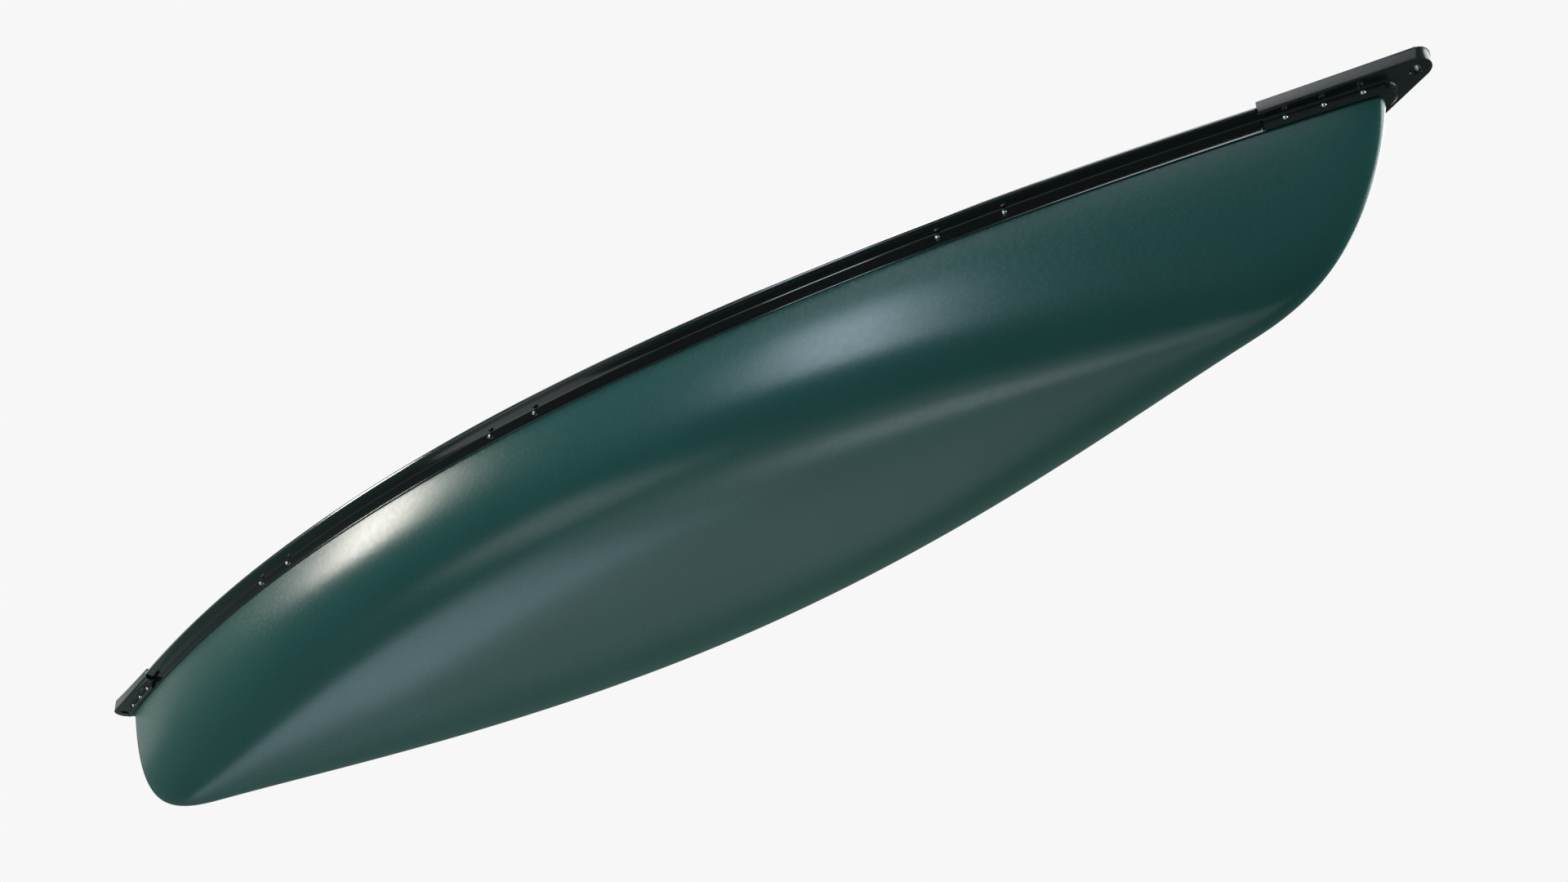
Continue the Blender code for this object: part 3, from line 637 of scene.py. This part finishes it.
def rail_width(x):
    return float(RAIL_OUT - RAIL_TAPER * abs(x / HALF_LENGTH) ** 4)


def rail_outline(x):
    """The rail's section at this station, as (out, up) points."""
    slot, lip = inner_web(x), rail_width(x)
    back = slot - WEB - RAIL_IN
    middle, half = (lip + back) / 2, (lip - back) / 2
    hollow = []
    for share in np.linspace(1, 0, 9):
        out = GAP + WEB - WEB_HOLLOW * (1 - share**2)
        hollow.append((out, WEB_TOP + share * (WEB_FOOT - WEB_DEPTH - WEB_TOP), 0))
    crown = [(middle + half * share, RAIL_CROWN * (1 - share**2), 0) for share in np.linspace(0.8, -0.8, 7)]
    return rounded([
        (slot - WEB, -WEB_DEPTH, TOE_ROUND), (slot, -WEB_DEPTH, TOE_ROUND), (slot, -RAIL_LIP, 0),
        (GAP, -RAIL_LIP, 0), (GAP, -WEB_DEPTH, SLOT_EDGE), (GAP + WEB, -WEB_DEPTH, TOE_EDGE),
        *hollow, (GAP + WEB - WEB_HOLLOW, -RAIL_LIP, ROOT_FILLET),
        (lip, -RAIL_LIP, LIP_ROUND), (lip, 0, RAIL_EDGE), *crown,
        (back, 0, RAIL_EDGE), (back, -RAIL_LIP, LIP_ROUND), (slot - WEB, -RAIL_LIP, INNER_FILLET),
    ])


print(f"rail outline: {len(rail_outline(0.0))} points, {1000 * (rail_width(0.0) + RAIL_IN):.0f} mm wide")


# %% Rails
def along_side(bm, side, places, outline):
    """Carries an outline of (out, up) points along the hull's side."""
    loft(bm, [[(x, side * (breadth(x) + out), sheer(x) + up) for out, up in outline(x)] for x in places])


for label, side in SIDES.items():
    bm = bmesh.new()
    reach = DECK_AFT - GAP
    along_side(bm, side, np.linspace(-reach, reach, 141), rail_outline)
    finish(f"{label}_rail", bm, rail_vinyl.material, f"{label}_gunwale", sharp=30)
print(f"rails: {triangles['left_rail']} triangles each")

# %% [markdown]
# ## End decks
# A deck is one moulding: a thick nose-shaped slab with a scooped inboard edge, and under it a collar that
# wraps the hull's end. It starts as two lofts, the slab and the collar block with a chamfered foot and a
# fillet where it flows into the slab. Booleans join them and then cut the pocket under the slab, the slot
# for the hull's wall, and the tow hole with its chamfered rims.

# %% Deck sizes
DECK_OVERHANG, DECK_SHORT, DECK_NOSE_RADIUS = 0.1098, 0.0018, 0.030
DECK_NOSE_CENTRE = HALF_LENGTH + DECK_OVERHANG - DECK_NOSE_RADIUS
DECK_RISE, DECK_SLOPE, DECK_THICK, DECK_PLATE, DECK_SCOOP = 0.018, 0.1046, 0.035, 0.005, 0.030
DECK_EDGE, DECK_LOW_EDGE, DECK_CORNER = 0.0025, 0.0012, 0.006
COLLAR_OUT, COLLAR_FOOT_OUT, COLLAR_DEPTH, COLLAR_CHAMFER = 0.0085, 0.004, 0.043, 0.005
COLLAR_INNER, COLLAR_ROUNDING, COLLAR_REACH, COLLAR_FILLET = 0.004, 0.033, 0.022, 0.005
SLOT_GAP, SLOT_START, COLLAR_EASE, SHARP_TURN = 0.001, 0.02, 0.0004, 1.0
TOW_HOLE_RADIUS, TOW_HOLE_RIM = 0.0125, 0.002
TOW_HOLE_X = DECK_NOSE_CENTRE + DECK_NOSE_RADIUS - 0.037


def deck_top(x):
    return float(sheer(DECK_AFT) + DECK_RISE + DECK_SLOPE * (abs(x) - DECK_AFT))


def arc(centre, radius, start, end, steps):
    angles = np.linspace(start, end, steps)
    return [(centre + radius * math.cos(a), radius * math.sin(a)) for a in angles]


def deck_outline():
    """Plan of the slab: straight sides, a round nose, small round corners and a scooped inboard edge."""
    reach, width = DECK_NOSE_CENTRE - DECK_AFT, float(breadth(DECK_AFT)) + rail_width(DECK_AFT) - DECK_SHORT
    lean = math.asin((width - DECK_NOSE_RADIUS) / math.hypot(reach, width - DECK_NOSE_RADIUS))
    nose = arc(DECK_NOSE_CENTRE, DECK_NOSE_RADIUS, lean - math.pi / 2, math.pi / 2 - lean, 33)
    half = float(breadth(DECK_AFT)) - WALL - WEB - RAIL_IN - COLLAR_INNER
    scoop = [(DECK_AFT + DECK_SCOOP * (1 - (y / half) ** 2), y) for y in np.linspace(half, -half, 33)]
    return [(DECK_AFT, -width), *nose, (DECK_AFT, width), *scoop]


def collar_outline(out):
    """Plan of the collar, this far outside the hull, closing ahead of the stem in an arc."""
    slope = abs(plan_slope(HALF_LENGTH - COLLAR_ROUNDING))
    radius = STEM_HALF_WIDTH / (math.hypot(1, slope) - slope)
    centre, lean = HALF_LENGTH - radius, math.atan(slope)
    joint = centre + (radius + out) * math.sin(lean)
    places = np.linspace(DECK_AFT, joint, 25)[:-1]
    side = [(x, float(breadth(x)) + out * math.hypot(1, plan_slope(x))) for x in places]
    reach = COLLAR_REACH * out / COLLAR_OUT
    round_end = radius + out - reach * math.sin(lean)
    nose = arc(centre + reach, round_end, math.pi / 2 - lean, lean - math.pi / 2, 25)
    return [*side, *nose, *[(x, -y) for x, y in reversed(side)]]


print(f"deck {1000 * (DECK_NOSE_CENTRE + DECK_NOSE_RADIUS - DECK_AFT):.0f} mm long")


# %% Deck solids
def helper_object(name, bm):
    """An object that takes part in a Boolean and is removed afterwards."""
    bmesh.ops.recalc_face_normals(bm, faces=bm.faces)
    return as_object(name, bm)


def combine(base, operation, helper):
    """Applies one Boolean to base and removes the helper."""
    step = base.modifiers.new(operation, "BOOLEAN")
    step.operation, step.solver, step.object = operation, "EXACT", helper
    joined = bpy.data.meshes.new_from_object(base.evaluated_get(bpy.context.evaluated_depsgraph_get()))
    base.modifiers.clear()
    base.data = joined
    bpy.data.objects.remove(helper)


def slab(end):
    bm = bmesh.new()
    tops = [(end * x, y, deck_top(x)) for x, y in deck_outline()]
    loft(bm, [[(x, y, z - DECK_THICK) for x, y, z in tops], tops])
    bmesh.ops.recalc_face_normals(bm, faces=bm.faces)
    corners = [edge for edge in bm.edges
               if rise(edge) > DECK_THICK / 2 and edge.calc_face_angle() > SHARP_TURN]
    round_edges(bm, corners, DECK_CORNER)
    for above, radius, segments in ((True, DECK_EDGE, 4), (False, DECK_LOW_EDGE, 2)):
        rim = []
        for edge in bm.edges:
            middle = (edge.verts[0].co + edge.verts[1].co) / 2
            here = (middle.z > deck_top(middle.x) - DECK_THICK / 2) == above
            if here and rise(edge) < DECK_THICK / 2 and edge.calc_face_angle() > SHARP_TURN:
                rim.append(edge)
        round_edges(bm, rim, radius, segments)
    return helper_object(f"deck_slab_{end}", bm)


def collar(end):
    """Levels from the foot up: chamfer, straight side, then the fillet that flares into the slab."""
    levels = [(COLLAR_FOOT_OUT, 0.0), (COLLAR_OUT - COLLAR_EASE, COLLAR_CHAMFER * 0.9),
              (COLLAR_OUT, COLLAR_CHAMFER * 1.1)]
    rings = [[(end * x, y, float(sheer(x)) - COLLAR_DEPTH + up) for x, y in collar_outline(out)]
             for out, up in levels]
    for angle in np.linspace(0, math.pi / 2, 6):
        out = COLLAR_OUT + COLLAR_FILLET * (1 - math.cos(angle))
        drop = DECK_THICK + COLLAR_FILLET * (1 - math.sin(angle))
        rings.append([(end * x, y, deck_top(x) - drop) for x, y in collar_outline(out)])
    rings.append([(x, y, z + DECK_THICK / 2) for x, y, z in rings[-1]])
    bm = bmesh.new()
    loft(bm, rings)
    return helper_object(f"collar_block_{end}", bm)


def pocket(end):
    """The hollow inside the collar, open below."""
    inset = WALL + SLOT_GAP + COLLAR_INNER
    rings = []
    for x in np.linspace(DECK_AFT + DECK_SCOOP + 2 * DECK_PLATE, HALF_LENGTH, 40):
        half = float(breadth(x)) - inset
        low, high = float(sheer(x)) - 2 * COLLAR_DEPTH, deck_top(x) - DECK_PLATE
        if half > 2 * COLLAR_INNER:
            corners = ((-half, low), (half, low), (half, high), (-half, high))
            rings.append([(end * x, across, up) for across, up in corners])
    bm = bmesh.new()
    loft(bm, rings)
    return helper_object(f"pocket_{end}", bm)


def hull_slot(end):
    """The hull's wall at one end, swollen by the slot's clearance."""
    bm = bmesh.new()
    for inset in (0.0, WALL + SLOT_GAP):
        skin = bmesh.new()
        add_skin(skin, inset, first=DECK_AFT - SLOT_START)
        bmesh.ops.remove_doubles(skin, verts=skin.verts, dist=MERGE)
        skin.normal_update()
        outward = 1 if sum(vert.normal.y * vert.co.y for vert in skin.verts) > 0 else -1
        for vert in skin.verts:
            if not inset:
                vert.co += vert.normal * (outward * SLOT_GAP)
            if vert.is_boundary and vert.co.x > DECK_AFT:
                vert.co.z += SLOT_GAP
        merge(bm, skin)
    bmesh.ops.bridge_loops(bm, edges=[edge for edge in bm.edges if edge.is_boundary])
    bmesh.ops.scale(bm, vec=(end, 1, 1), verts=bm.verts)
    return helper_object(f"hull_slot_{end}", bm)


def tow_drill(end):
    """A drill with a cone at each face, which leaves a chamfered rim."""
    reach, rim = DECK_THICK / 2, TOW_HOLE_RIM
    wide = TOW_HOLE_RADIUS + rim
    profile = [
        (-2 * reach, 0), (-2 * reach, wide + reach), (-reach, wide), (rim - reach, TOW_HOLE_RADIUS),
        (reach - rim, TOW_HOLE_RADIUS), (reach, wide), (2 * reach, wide + reach), (2 * reach, 0),
    ]
    middle = Vector((end * TOW_HOLE_X, 0, deck_top(TOW_HOLE_X) - reach))
    bm = bmesh.new()
    lathe(bm, profile, middle, Vector((-end * DECK_SLOPE, 0, 1)).normalized(), 40)
    return helper_object(f"tow_drill_{end}", bm)


# %% Decks
ENDS = {"stern": 1, "bow": -1}
for label, end in ENDS.items():
    deck = slab(end)
    combine(deck, "UNION", collar(end))
    for cutter in (pocket(end), hull_slot(end), tow_drill(end)):
        combine(deck, "DIFFERENCE", cutter)
    bm = bmesh.new()
    bm.from_mesh(deck.data)
    bpy.data.objects.remove(deck)
    finish(f"{label}_deck_moulding", bm, deck_plastic.material, f"{label}_deck", sharp=30)
    print(f"{label} deck: {triangles[f'{label}_deck_moulding']} triangles")

# %% [markdown]
# ## Rivets, bolts and nuts
# All of these are set square to the hull's side. A rivet has a low dome over a thin flange.
# A bolt has a tall round head on a short shank collar, and its nut inside the canoe has six flats
# with chamfered corners. The rivets and bolts are spun from their half outlines; the nut is a hexagon ring,
# thickened and rounded at its outer rims.

# %% Fastener places
RIVET_FROM_AFT, RIVET_PITCH, RIVETS_PER_SIDE, RIVET_DROP = 0.041, 0.078, 3, 0.0275
BOLT_PITCH, BOLT_DROP, PLATE, NUT_HEIGHT, SHANK_TIP = 0.157, 0.0204, 0.004, 0.005, 0.002
SEATS = {"stern": (0.875, 0.1065, 0.023), "bow": (-1.152, 0.1147, 0.072)}
YOKE_STATION = 0.030


def seat_station(name):
    from_stem = SEATS[name][0]
    return math.copysign(HALF_LENGTH - abs(from_stem), from_stem)


def on_side(x, side, drop):
    """A point on the hull's outer face and the level direction square to it."""
    square = Vector((-plan_slope(x), side, 0)).normalized()
    return Vector((x, side * float(breadth(x)), float(sheer(x)) - drop)), square


HELD = {"stern_seat": seat_station("stern"), "yoke": YOKE_STATION, "bow_seat": seat_station("bow")}
bolt_places = [(name, number, station + (number - 1.5) * BOLT_PITCH)
               for name, station in HELD.items() for number in (1, 2)]
print(f"{len(bolt_places)} bolt stations on each side")


# %% Rivets and bolts
RIVET_DOME, RIVET_SHANK = {"height": 0.0034, "radius": 0.0054}, 0.0024
RIVET_FLANGE = ((0.0011, 0.0060), (0.0008, 0.0062), (0.0003, 0.0062), (0.0, 0.0059))
BOLT_DOME, BOLT_SHANK, BOLT_CHAMFER = {"height": 0.0042, "radius": 0.0065}, 0.003, 0.0006
BOLT_RIM = ((0.0014, 0.0065), (0.0004, 0.0065), (0.0, 0.0061))


def dome(base, height, radius, steps=8):
    """Half outline of a dome, from its top down to just above its rim."""
    angles = np.linspace(math.pi / 2, 0, steps + 1)[:-1]
    return [(base + height * math.sin(a), radius * math.cos(a)) for a in angles]


def rivet_profile():
    face, tip = COLLAR_OUT + GAP, -(WALL + SLOT_GAP + COLLAR_INNER + SHANK_TIP)
    flange = [(face + up, radius) for up, radius in RIVET_FLANGE]
    return [*dome(face + 0.0012, **RIVET_DOME), *flange, (face, RIVET_SHANK), (tip, RIVET_SHANK), (tip, 0)]


def bolt_profile(x):
    face = 2 * GAP + WEB
    tip = inner_web(x) - WEB - PLATE - 3 * GAP - NUT_HEIGHT - SHANK_TIP
    rim = [(face + up, radius) for up, radius in BOLT_RIM]
    shank = [(face, BOLT_SHANK), (tip + BOLT_CHAMFER, BOLT_SHANK), (tip, BOLT_SHANK - BOLT_CHAMFER), (tip, 0)]
    return [*dome(face + 0.0016, **BOLT_DOME), *rim, *shank]


for label, side in SIDES.items():
    for name, number, x in bolt_places:
        bm = bmesh.new()
        lathe(bm, bolt_profile(x), *on_side(x, side, BOLT_DROP), 28)
        finish(f"{name}_{label}_bolt_{number}_steel", bm, steel.material, f"{name}_{label}_bolt_{number}")
    for deck, end in ENDS.items():
        for number in range(RIVETS_PER_SIDE):
            x = end * (DECK_AFT + RIVET_FROM_AFT + number * RIVET_PITCH)
            node = f"{deck}_deck_{label}_rivet_{number + 1}"
            bm = bmesh.new()
            lathe(bm, rivet_profile(), *on_side(x, side, RIVET_DROP), 28)
            finish(f"{node}_steel", bm, steel.material, node)
print(f"bolt: {triangles['yoke_left_bolt_1_steel']} triangles")


# %% Nuts
NUT_CORNER, NUT_EDGE, BORE = 0.0058, 0.0005, 0.0033

for name, number, x in bolt_places:
    for label, side in SIDES.items():
        middle, square = on_side(x, side, BOLT_DROP)
        seat_face = inner_web(x) - WEB - PLATE - 3 * GAP
        bm = bmesh.new()
        bmesh.ops.create_circle(bm, cap_ends=False, segments=6, radius=NUT_CORNER)
        bmesh.ops.create_circle(bm, cap_ends=False, segments=24, radius=BORE)
        bmesh.ops.bridge_loops(bm, edges=bm.edges[:])
        bmesh.ops.solidify(bm, geom=bm.faces[:], thickness=NUT_HEIGHT)
        rims = []
        for edge in bm.edges:
            is_outer = all(math.hypot(*vert.co.xy) > (NUT_CORNER + BORE) / 2 for vert in edge.verts)
            if is_outer and rise(edge) < NUT_HEIGHT / 2:
                rims.append(edge)
        round_edges(bm, rims, NUT_EDGE, segments=2)
        heights = [vert.co.z for vert in bm.verts]
        bmesh.ops.translate(bm, verts=bm.verts, vec=(0, 0, seat_face - max(heights)))
        turn = Matrix.Translation(middle) @ square.to_track_quat("Z", "Y").to_matrix().to_4x4()
        bmesh.ops.transform(bm, matrix=turn, verts=bm.verts)
        finish(f"{name}_{label}_nut_{number}_steel", bm, steel.material, f"{name}_{label}_nut_{number}")
print(f"nut: {triangles['yoke_left_nut_1_steel']} triangles")

# %% [markdown]
# ## Brackets
# A bracket is a length of plate bent twice: its upper leg lies flat against the rail's inner web, it leans
# in a little below the rail, and its foot turns in as a shelf under the seat's rails. The outline has a
# real bend radius, inside and out, and the plate's free corners are rounded.

# %% Brackets
BRACKET_HALF_LENGTH, BRACKET_LEAN, SHELF, BEND, CORNER = 0.128, 0.012, 0.042, 0.002, 0.010
SEAT_RAIL, SEAT_RAIL_SPREAD, WEBBING_THICK, STILE_WIDTH = (0.038, 0.020), 0.105, 0.003, 0.030
YOKE_DROP, YOKE_WIDTH, YOKE_THICK = 0.040, 0.062, 0.020


def bracket_outline(x, shelf_top, lean):
    outer = inner_web(x) - WEB - GAP
    top, knee, foot = -RAIL_LIP - GAP, -WEB_DEPTH, outer - lean
    shelf = shelf_top - float(sheer(x))
    return rounded([
        (outer, top, 0), (outer - PLATE, top, 0), (outer - PLATE, knee - PLATE / 2, BEND),
        (foot - PLATE, shelf, BEND), (foot - PLATE - SHELF, shelf, 0),
        (foot - PLATE - SHELF, shelf - PLATE, 0), (foot, shelf - PLATE, BEND + PLATE),
        (outer, knee, BEND + PLATE),
    ])


def bracket(name, station, shelf_top, lean):
    for label, side in SIDES.items():
        bm = bmesh.new()
        ends = (station - BRACKET_HALF_LENGTH, station + BRACKET_HALF_LENGTH)
        along_side(bm, side, np.linspace(*ends, 13), lambda x: bracket_outline(x, shelf_top, lean))
        free = []
        for edge in bm.edges:
            at_end = all(min(abs(vert.co.x - end) for end in ends) < MERGE / 10 for vert in edge.verts)
            if at_end and abs(edge.calc_length() - PLATE) < MERGE and edge.calc_face_angle() > SHARP_TURN:
                free.append(edge)
        round_edges(bm, free, CORNER)
        finish(f"{name}_{label}_bracket_plate", bm, plate_metal.material, f"{name}_{label}_bracket")


def seat_levels(name):
    """The seat's station and the top of its frame."""
    station = seat_station(name)
    return station, float(sheer(station)) - SEATS[name][1] - WEBBING_THICK - GAP


for name in SEATS:
    station, frame_top = seat_levels(name)
    bracket(f"{name}_seat", station, frame_top - SEAT_RAIL[1] - GAP, BRACKET_LEAN)
yoke_top = float(sheer(YOKE_STATION)) - YOKE_DROP
bracket("yoke", YOKE_STATION, yoke_top - YOKE_THICK - GAP, 0.0)
print(f"bracket: {triangles['yoke_left_bracket_plate']} triangles")

# %% [markdown]
# ## Seat frames
# A seat frame is four pieces of ash: two rails that reach the brackets, and two stiles let in between
# them. Each starts as a cube, is stretched to its bar, has its ends set to the hull's taper, and gets
# round edges from a bevel.

# %% Bars
BAR_END_PLAY, EDGE_ROUND = 0.002, 0.004


def bar_end(x, lean):
    """Half length of a bar across the canoe at this station."""
    return float(breadth(x)) + inner_web(x) - WEB - GAP - lean - PLATE - BAR_END_PLAY


def bar(name, node, look, corners, top, thick):
    """A bar of even thickness whose plan has four corners, with round edges."""
    bm = bmesh.new()
    bmesh.ops.create_cube(bm, size=2)
    for vert in bm.verts:
        number = {(-1, -1): 0, (1, -1): 1, (1, 1): 2, (-1, 1): 3}[round(vert.co.x), round(vert.co.y)]
        vert.co = (*corners[number], top if vert.co.z > 0 else top - thick)
    round_edges(bm, bm.edges, EDGE_ROUND)
    return finish(name, bm, look, node, sharp=60)


frame_inside = {}
for name, (_, _, stile_gap) in SEATS.items():
    station, frame_top = seat_levels(name)
    width, thick = SEAT_RAIL
    ends = []
    for label, offset in (("front", -SEAT_RAIL_SPREAD), ("rear", SEAT_RAIL_SPREAD)):
        near, far = station + offset - width / 2, station + offset + width / 2
        near_end, far_end = bar_end(near, BRACKET_LEAN), bar_end(far, BRACKET_LEAN)
        ends += [near_end, far_end]
        plan = [(near, -near_end), (far, -far_end), (far, far_end), (near, near_end)]
        node = f"{name}_seat_{label}_rail"
        bar(f"{node}_ash", node, ash_across, plan, frame_top, thick)
    inside, outer = SEAT_RAIL_SPREAD - width / 2 - GAP, min(ends) - stile_gap
    frame_inside[name] = outer - STILE_WIDTH
    for label, side in SIDES.items():
        low, high = sorted((side * (outer - STILE_WIDTH), side * outer))
        near, far = station - inside, station + inside
        plan = [(near, low), (far, low), (far, high), (near, high)]
        node = f"{name}_seat_{label}_stile"
        bar(f"{node}_ash", node, ash_along, plan, frame_top, thick)
    print(f"{name} seat: {2000 * frame_inside[name]:.0f} mm of webbing between the stiles")

# %% [markdown]
# ## Webbing
# The seat is woven from 50 mm straps. Seven run from rail to rail and three from stile to stile, over and
# under each other, and every strap turns down round the frame and is tacked underneath. A strap is a flat
# ribbon carried along its own side view: the line goes under the wood, round its edge, over the top, and
# rises and falls by half its thickness at each crossing.

# %% Straps
STRAP_THICK, STRAP_PITCH, STRAP_SHARE, TAIL, WRAP = 0.0014, 0.056, 0.90, 0.018, 0.0035
STRAP_PLAY, LONG_STRAPS = 0.0002, 3
WAVE = (STRAP_THICK + STRAP_PLAY) / 2


def strap_line(opening, wood, top, thick, crossings, first):
    """Side view of a strap, as (along, up): tail, turn, weave, turn, tail."""
    skin = STRAP_THICK / 2 + STRAP_PLAY
    out, under, over = opening + wood + skin, top - thick - skin, top + skin
    turn = rounded([(TAIL - out, under, 0), (-out, under, WRAP), (-out, over, WRAP), (-opening, over, 0)],
                   steps=5, closed=False)
    pitch = 2 * opening / crossings
    weave = []
    for along in np.linspace(-opening, opening, 10 * crossings + 1)[1:-1]:
        phase = (along + opening) / pitch - 0.5
        fade = min(1.0, (opening - abs(along)) / (0.4 * pitch))
        weave.append((along, over + WAVE * first * fade * math.cos(math.pi * phase)))
    return [*turn, *weave, *[(-along, up) for along, up in reversed(turn)]]


def ribbon(bm, line, middle, width, across_hull):
    """Carries a flat strap section along the line, which lies along X or, across the hull, along Y."""
    strap = bmesh.new()
    rings = []
    for number, (along, up) in enumerate(line):
        before, after = line[max(0, number - 1)], line[min(len(line) - 1, number + 1)]
        run = Vector((after[0] - before[0], after[1] - before[1])).normalized()
        lift = Vector((-run.y, run.x)) * STRAP_THICK / 2
        half, edge = width / 2, STRAP_THICK / 3
        shape = [(edge - half, 1), (half - edge, 1), (half, 0)]
        shape += [(-side, -share) for side, share in shape]
        ring = [(along + lift.x * share, middle + side, up + lift.y * share) for side, share in shape]
        rings.append([(y, x, z) for x, y, z in ring] if across_hull else ring)
    loft(strap, rings)
    bmesh.ops.recalc_face_normals(strap, faces=strap.faces)
    merge(bm, strap)


for name in SEATS:
    station, frame_top = seat_levels(name)
    across, along = frame_inside[name], SEAT_RAIL_SPREAD - SEAT_RAIL[0] / 2
    short_count = round(2 * across / STRAP_PITCH)
    long_pitch, short_pitch = 2 * along / LONG_STRAPS, 2 * across / short_count
    bm = bmesh.new()
    for number in range(short_count):
        line = strap_line(along, SEAT_RAIL[0], frame_top, SEAT_RAIL[1], LONG_STRAPS, (-1) ** number)
        line = [(station + x, z) for x, z in line]
        ribbon(bm, line, (number + 0.5) * short_pitch - across, STRAP_SHARE * short_pitch, False)
    for number in range(LONG_STRAPS):
        line = strap_line(across, STILE_WIDTH, frame_top, SEAT_RAIL[1], short_count, -((-1) ** number))
        middle = station + (number + 0.5) * long_pitch - along
        ribbon(bm, line, middle, STRAP_SHARE * long_pitch, True)
    finish(f"{name}_seat_straps", bm, nylon.material, f"{name}_seat_webbing", sharp=60)
    print(f"{name} seat: {short_count} + {LONG_STRAPS} straps")

# %% [markdown]
# ## Yoke
# The yoke is one ash beam. Its middle bows forward to sit round the carrier's neck, its edges are well
# rounded, and it is the same width from bracket to bracket. It is a loft of one rounded outline whose
# middle line follows a bell curve.

# %% Yoke
YOKE_BOW, YOKE_BOW_SPAN, YOKE_ROUND = 0.045, 0.115, 0.007

half = YOKE_WIDTH / 2
length = min(bar_end(YOKE_STATION + end * half, 0.0) for end in (-1, 1))
outline = rounded([(-half, -YOKE_THICK, YOKE_ROUND), (half, -YOKE_THICK, YOKE_ROUND), (half, 0, YOKE_ROUND),
                   (-half, 0, YOKE_ROUND)], steps=6)
rings = []
for y in np.linspace(-length, length, 97):
    middle = YOKE_STATION - YOKE_BOW * math.exp(-((y / YOKE_BOW_SPAN) ** 2))
    rings.append([(middle + along, y, yoke_top + up) for along, up in outline])
bm = bmesh.new()
loft(bm, rings)
finish("carrying_yoke", bm, ash_across, "yoke", sharp=50)
print(f"yoke: {2000 * length:.0f} mm long")

# %% [markdown]
# ## Screws
# Each seat rail and each end of the yoke is held down by steel screws with washers, which go through the
# wood into the bracket's shelf. Only the washer and the oval head show.

# %% Screws
WASHER_TOP, SCREW_HEAD = 0.0010, 0.0052
WASHER = ((0.0010, 0.0080), (0.0008, 0.0083), (0.0001, 0.0083), (0.0001, 0.0))


def screw(name, x, y, top):
    """A washer and an oval head that stand on a flat of wood."""
    washer = [(top + up, radius) for up, radius in WASHER]
    head = dome(top + WASHER_TOP + GAP, 0.0022, SCREW_HEAD)
    bm = bmesh.new()
    lathe(bm, [*head, (top + WASHER_TOP, SCREW_HEAD), *washer], Vector((x, y, 0)), Vector((0, 0, 1)), 28)
    finish(name, bm, steel.material)


for label, side in SIDES.items():
    for name in SEATS:
        station, frame_top = seat_levels(name)
        for row, offset in (("front", -SEAT_RAIL_SPREAD), ("rear", SEAT_RAIL_SPREAD)):
            x = station + offset
            y = side * (bar_end(x, BRACKET_LEAN) - SHELF / 2)
            screw(f"{name}_seat_{label}_{row}_screw", x, y, frame_top)
    for row, offset in (("front", -half / 2), ("rear", half / 2)):
        screw(f"yoke_{label}_{row}_screw", YOKE_STATION + offset, side * (length - SHELF / 2), yoke_top)
print("screws: 12")

# %% [markdown]
# ## Pieces and triangles
# The last cell prints how many pieces the canoe is made of and how many triangles they have.

# %% Print the counts
print(f"{len(triangles)} pieces, {sum(triangles.values())} triangles")
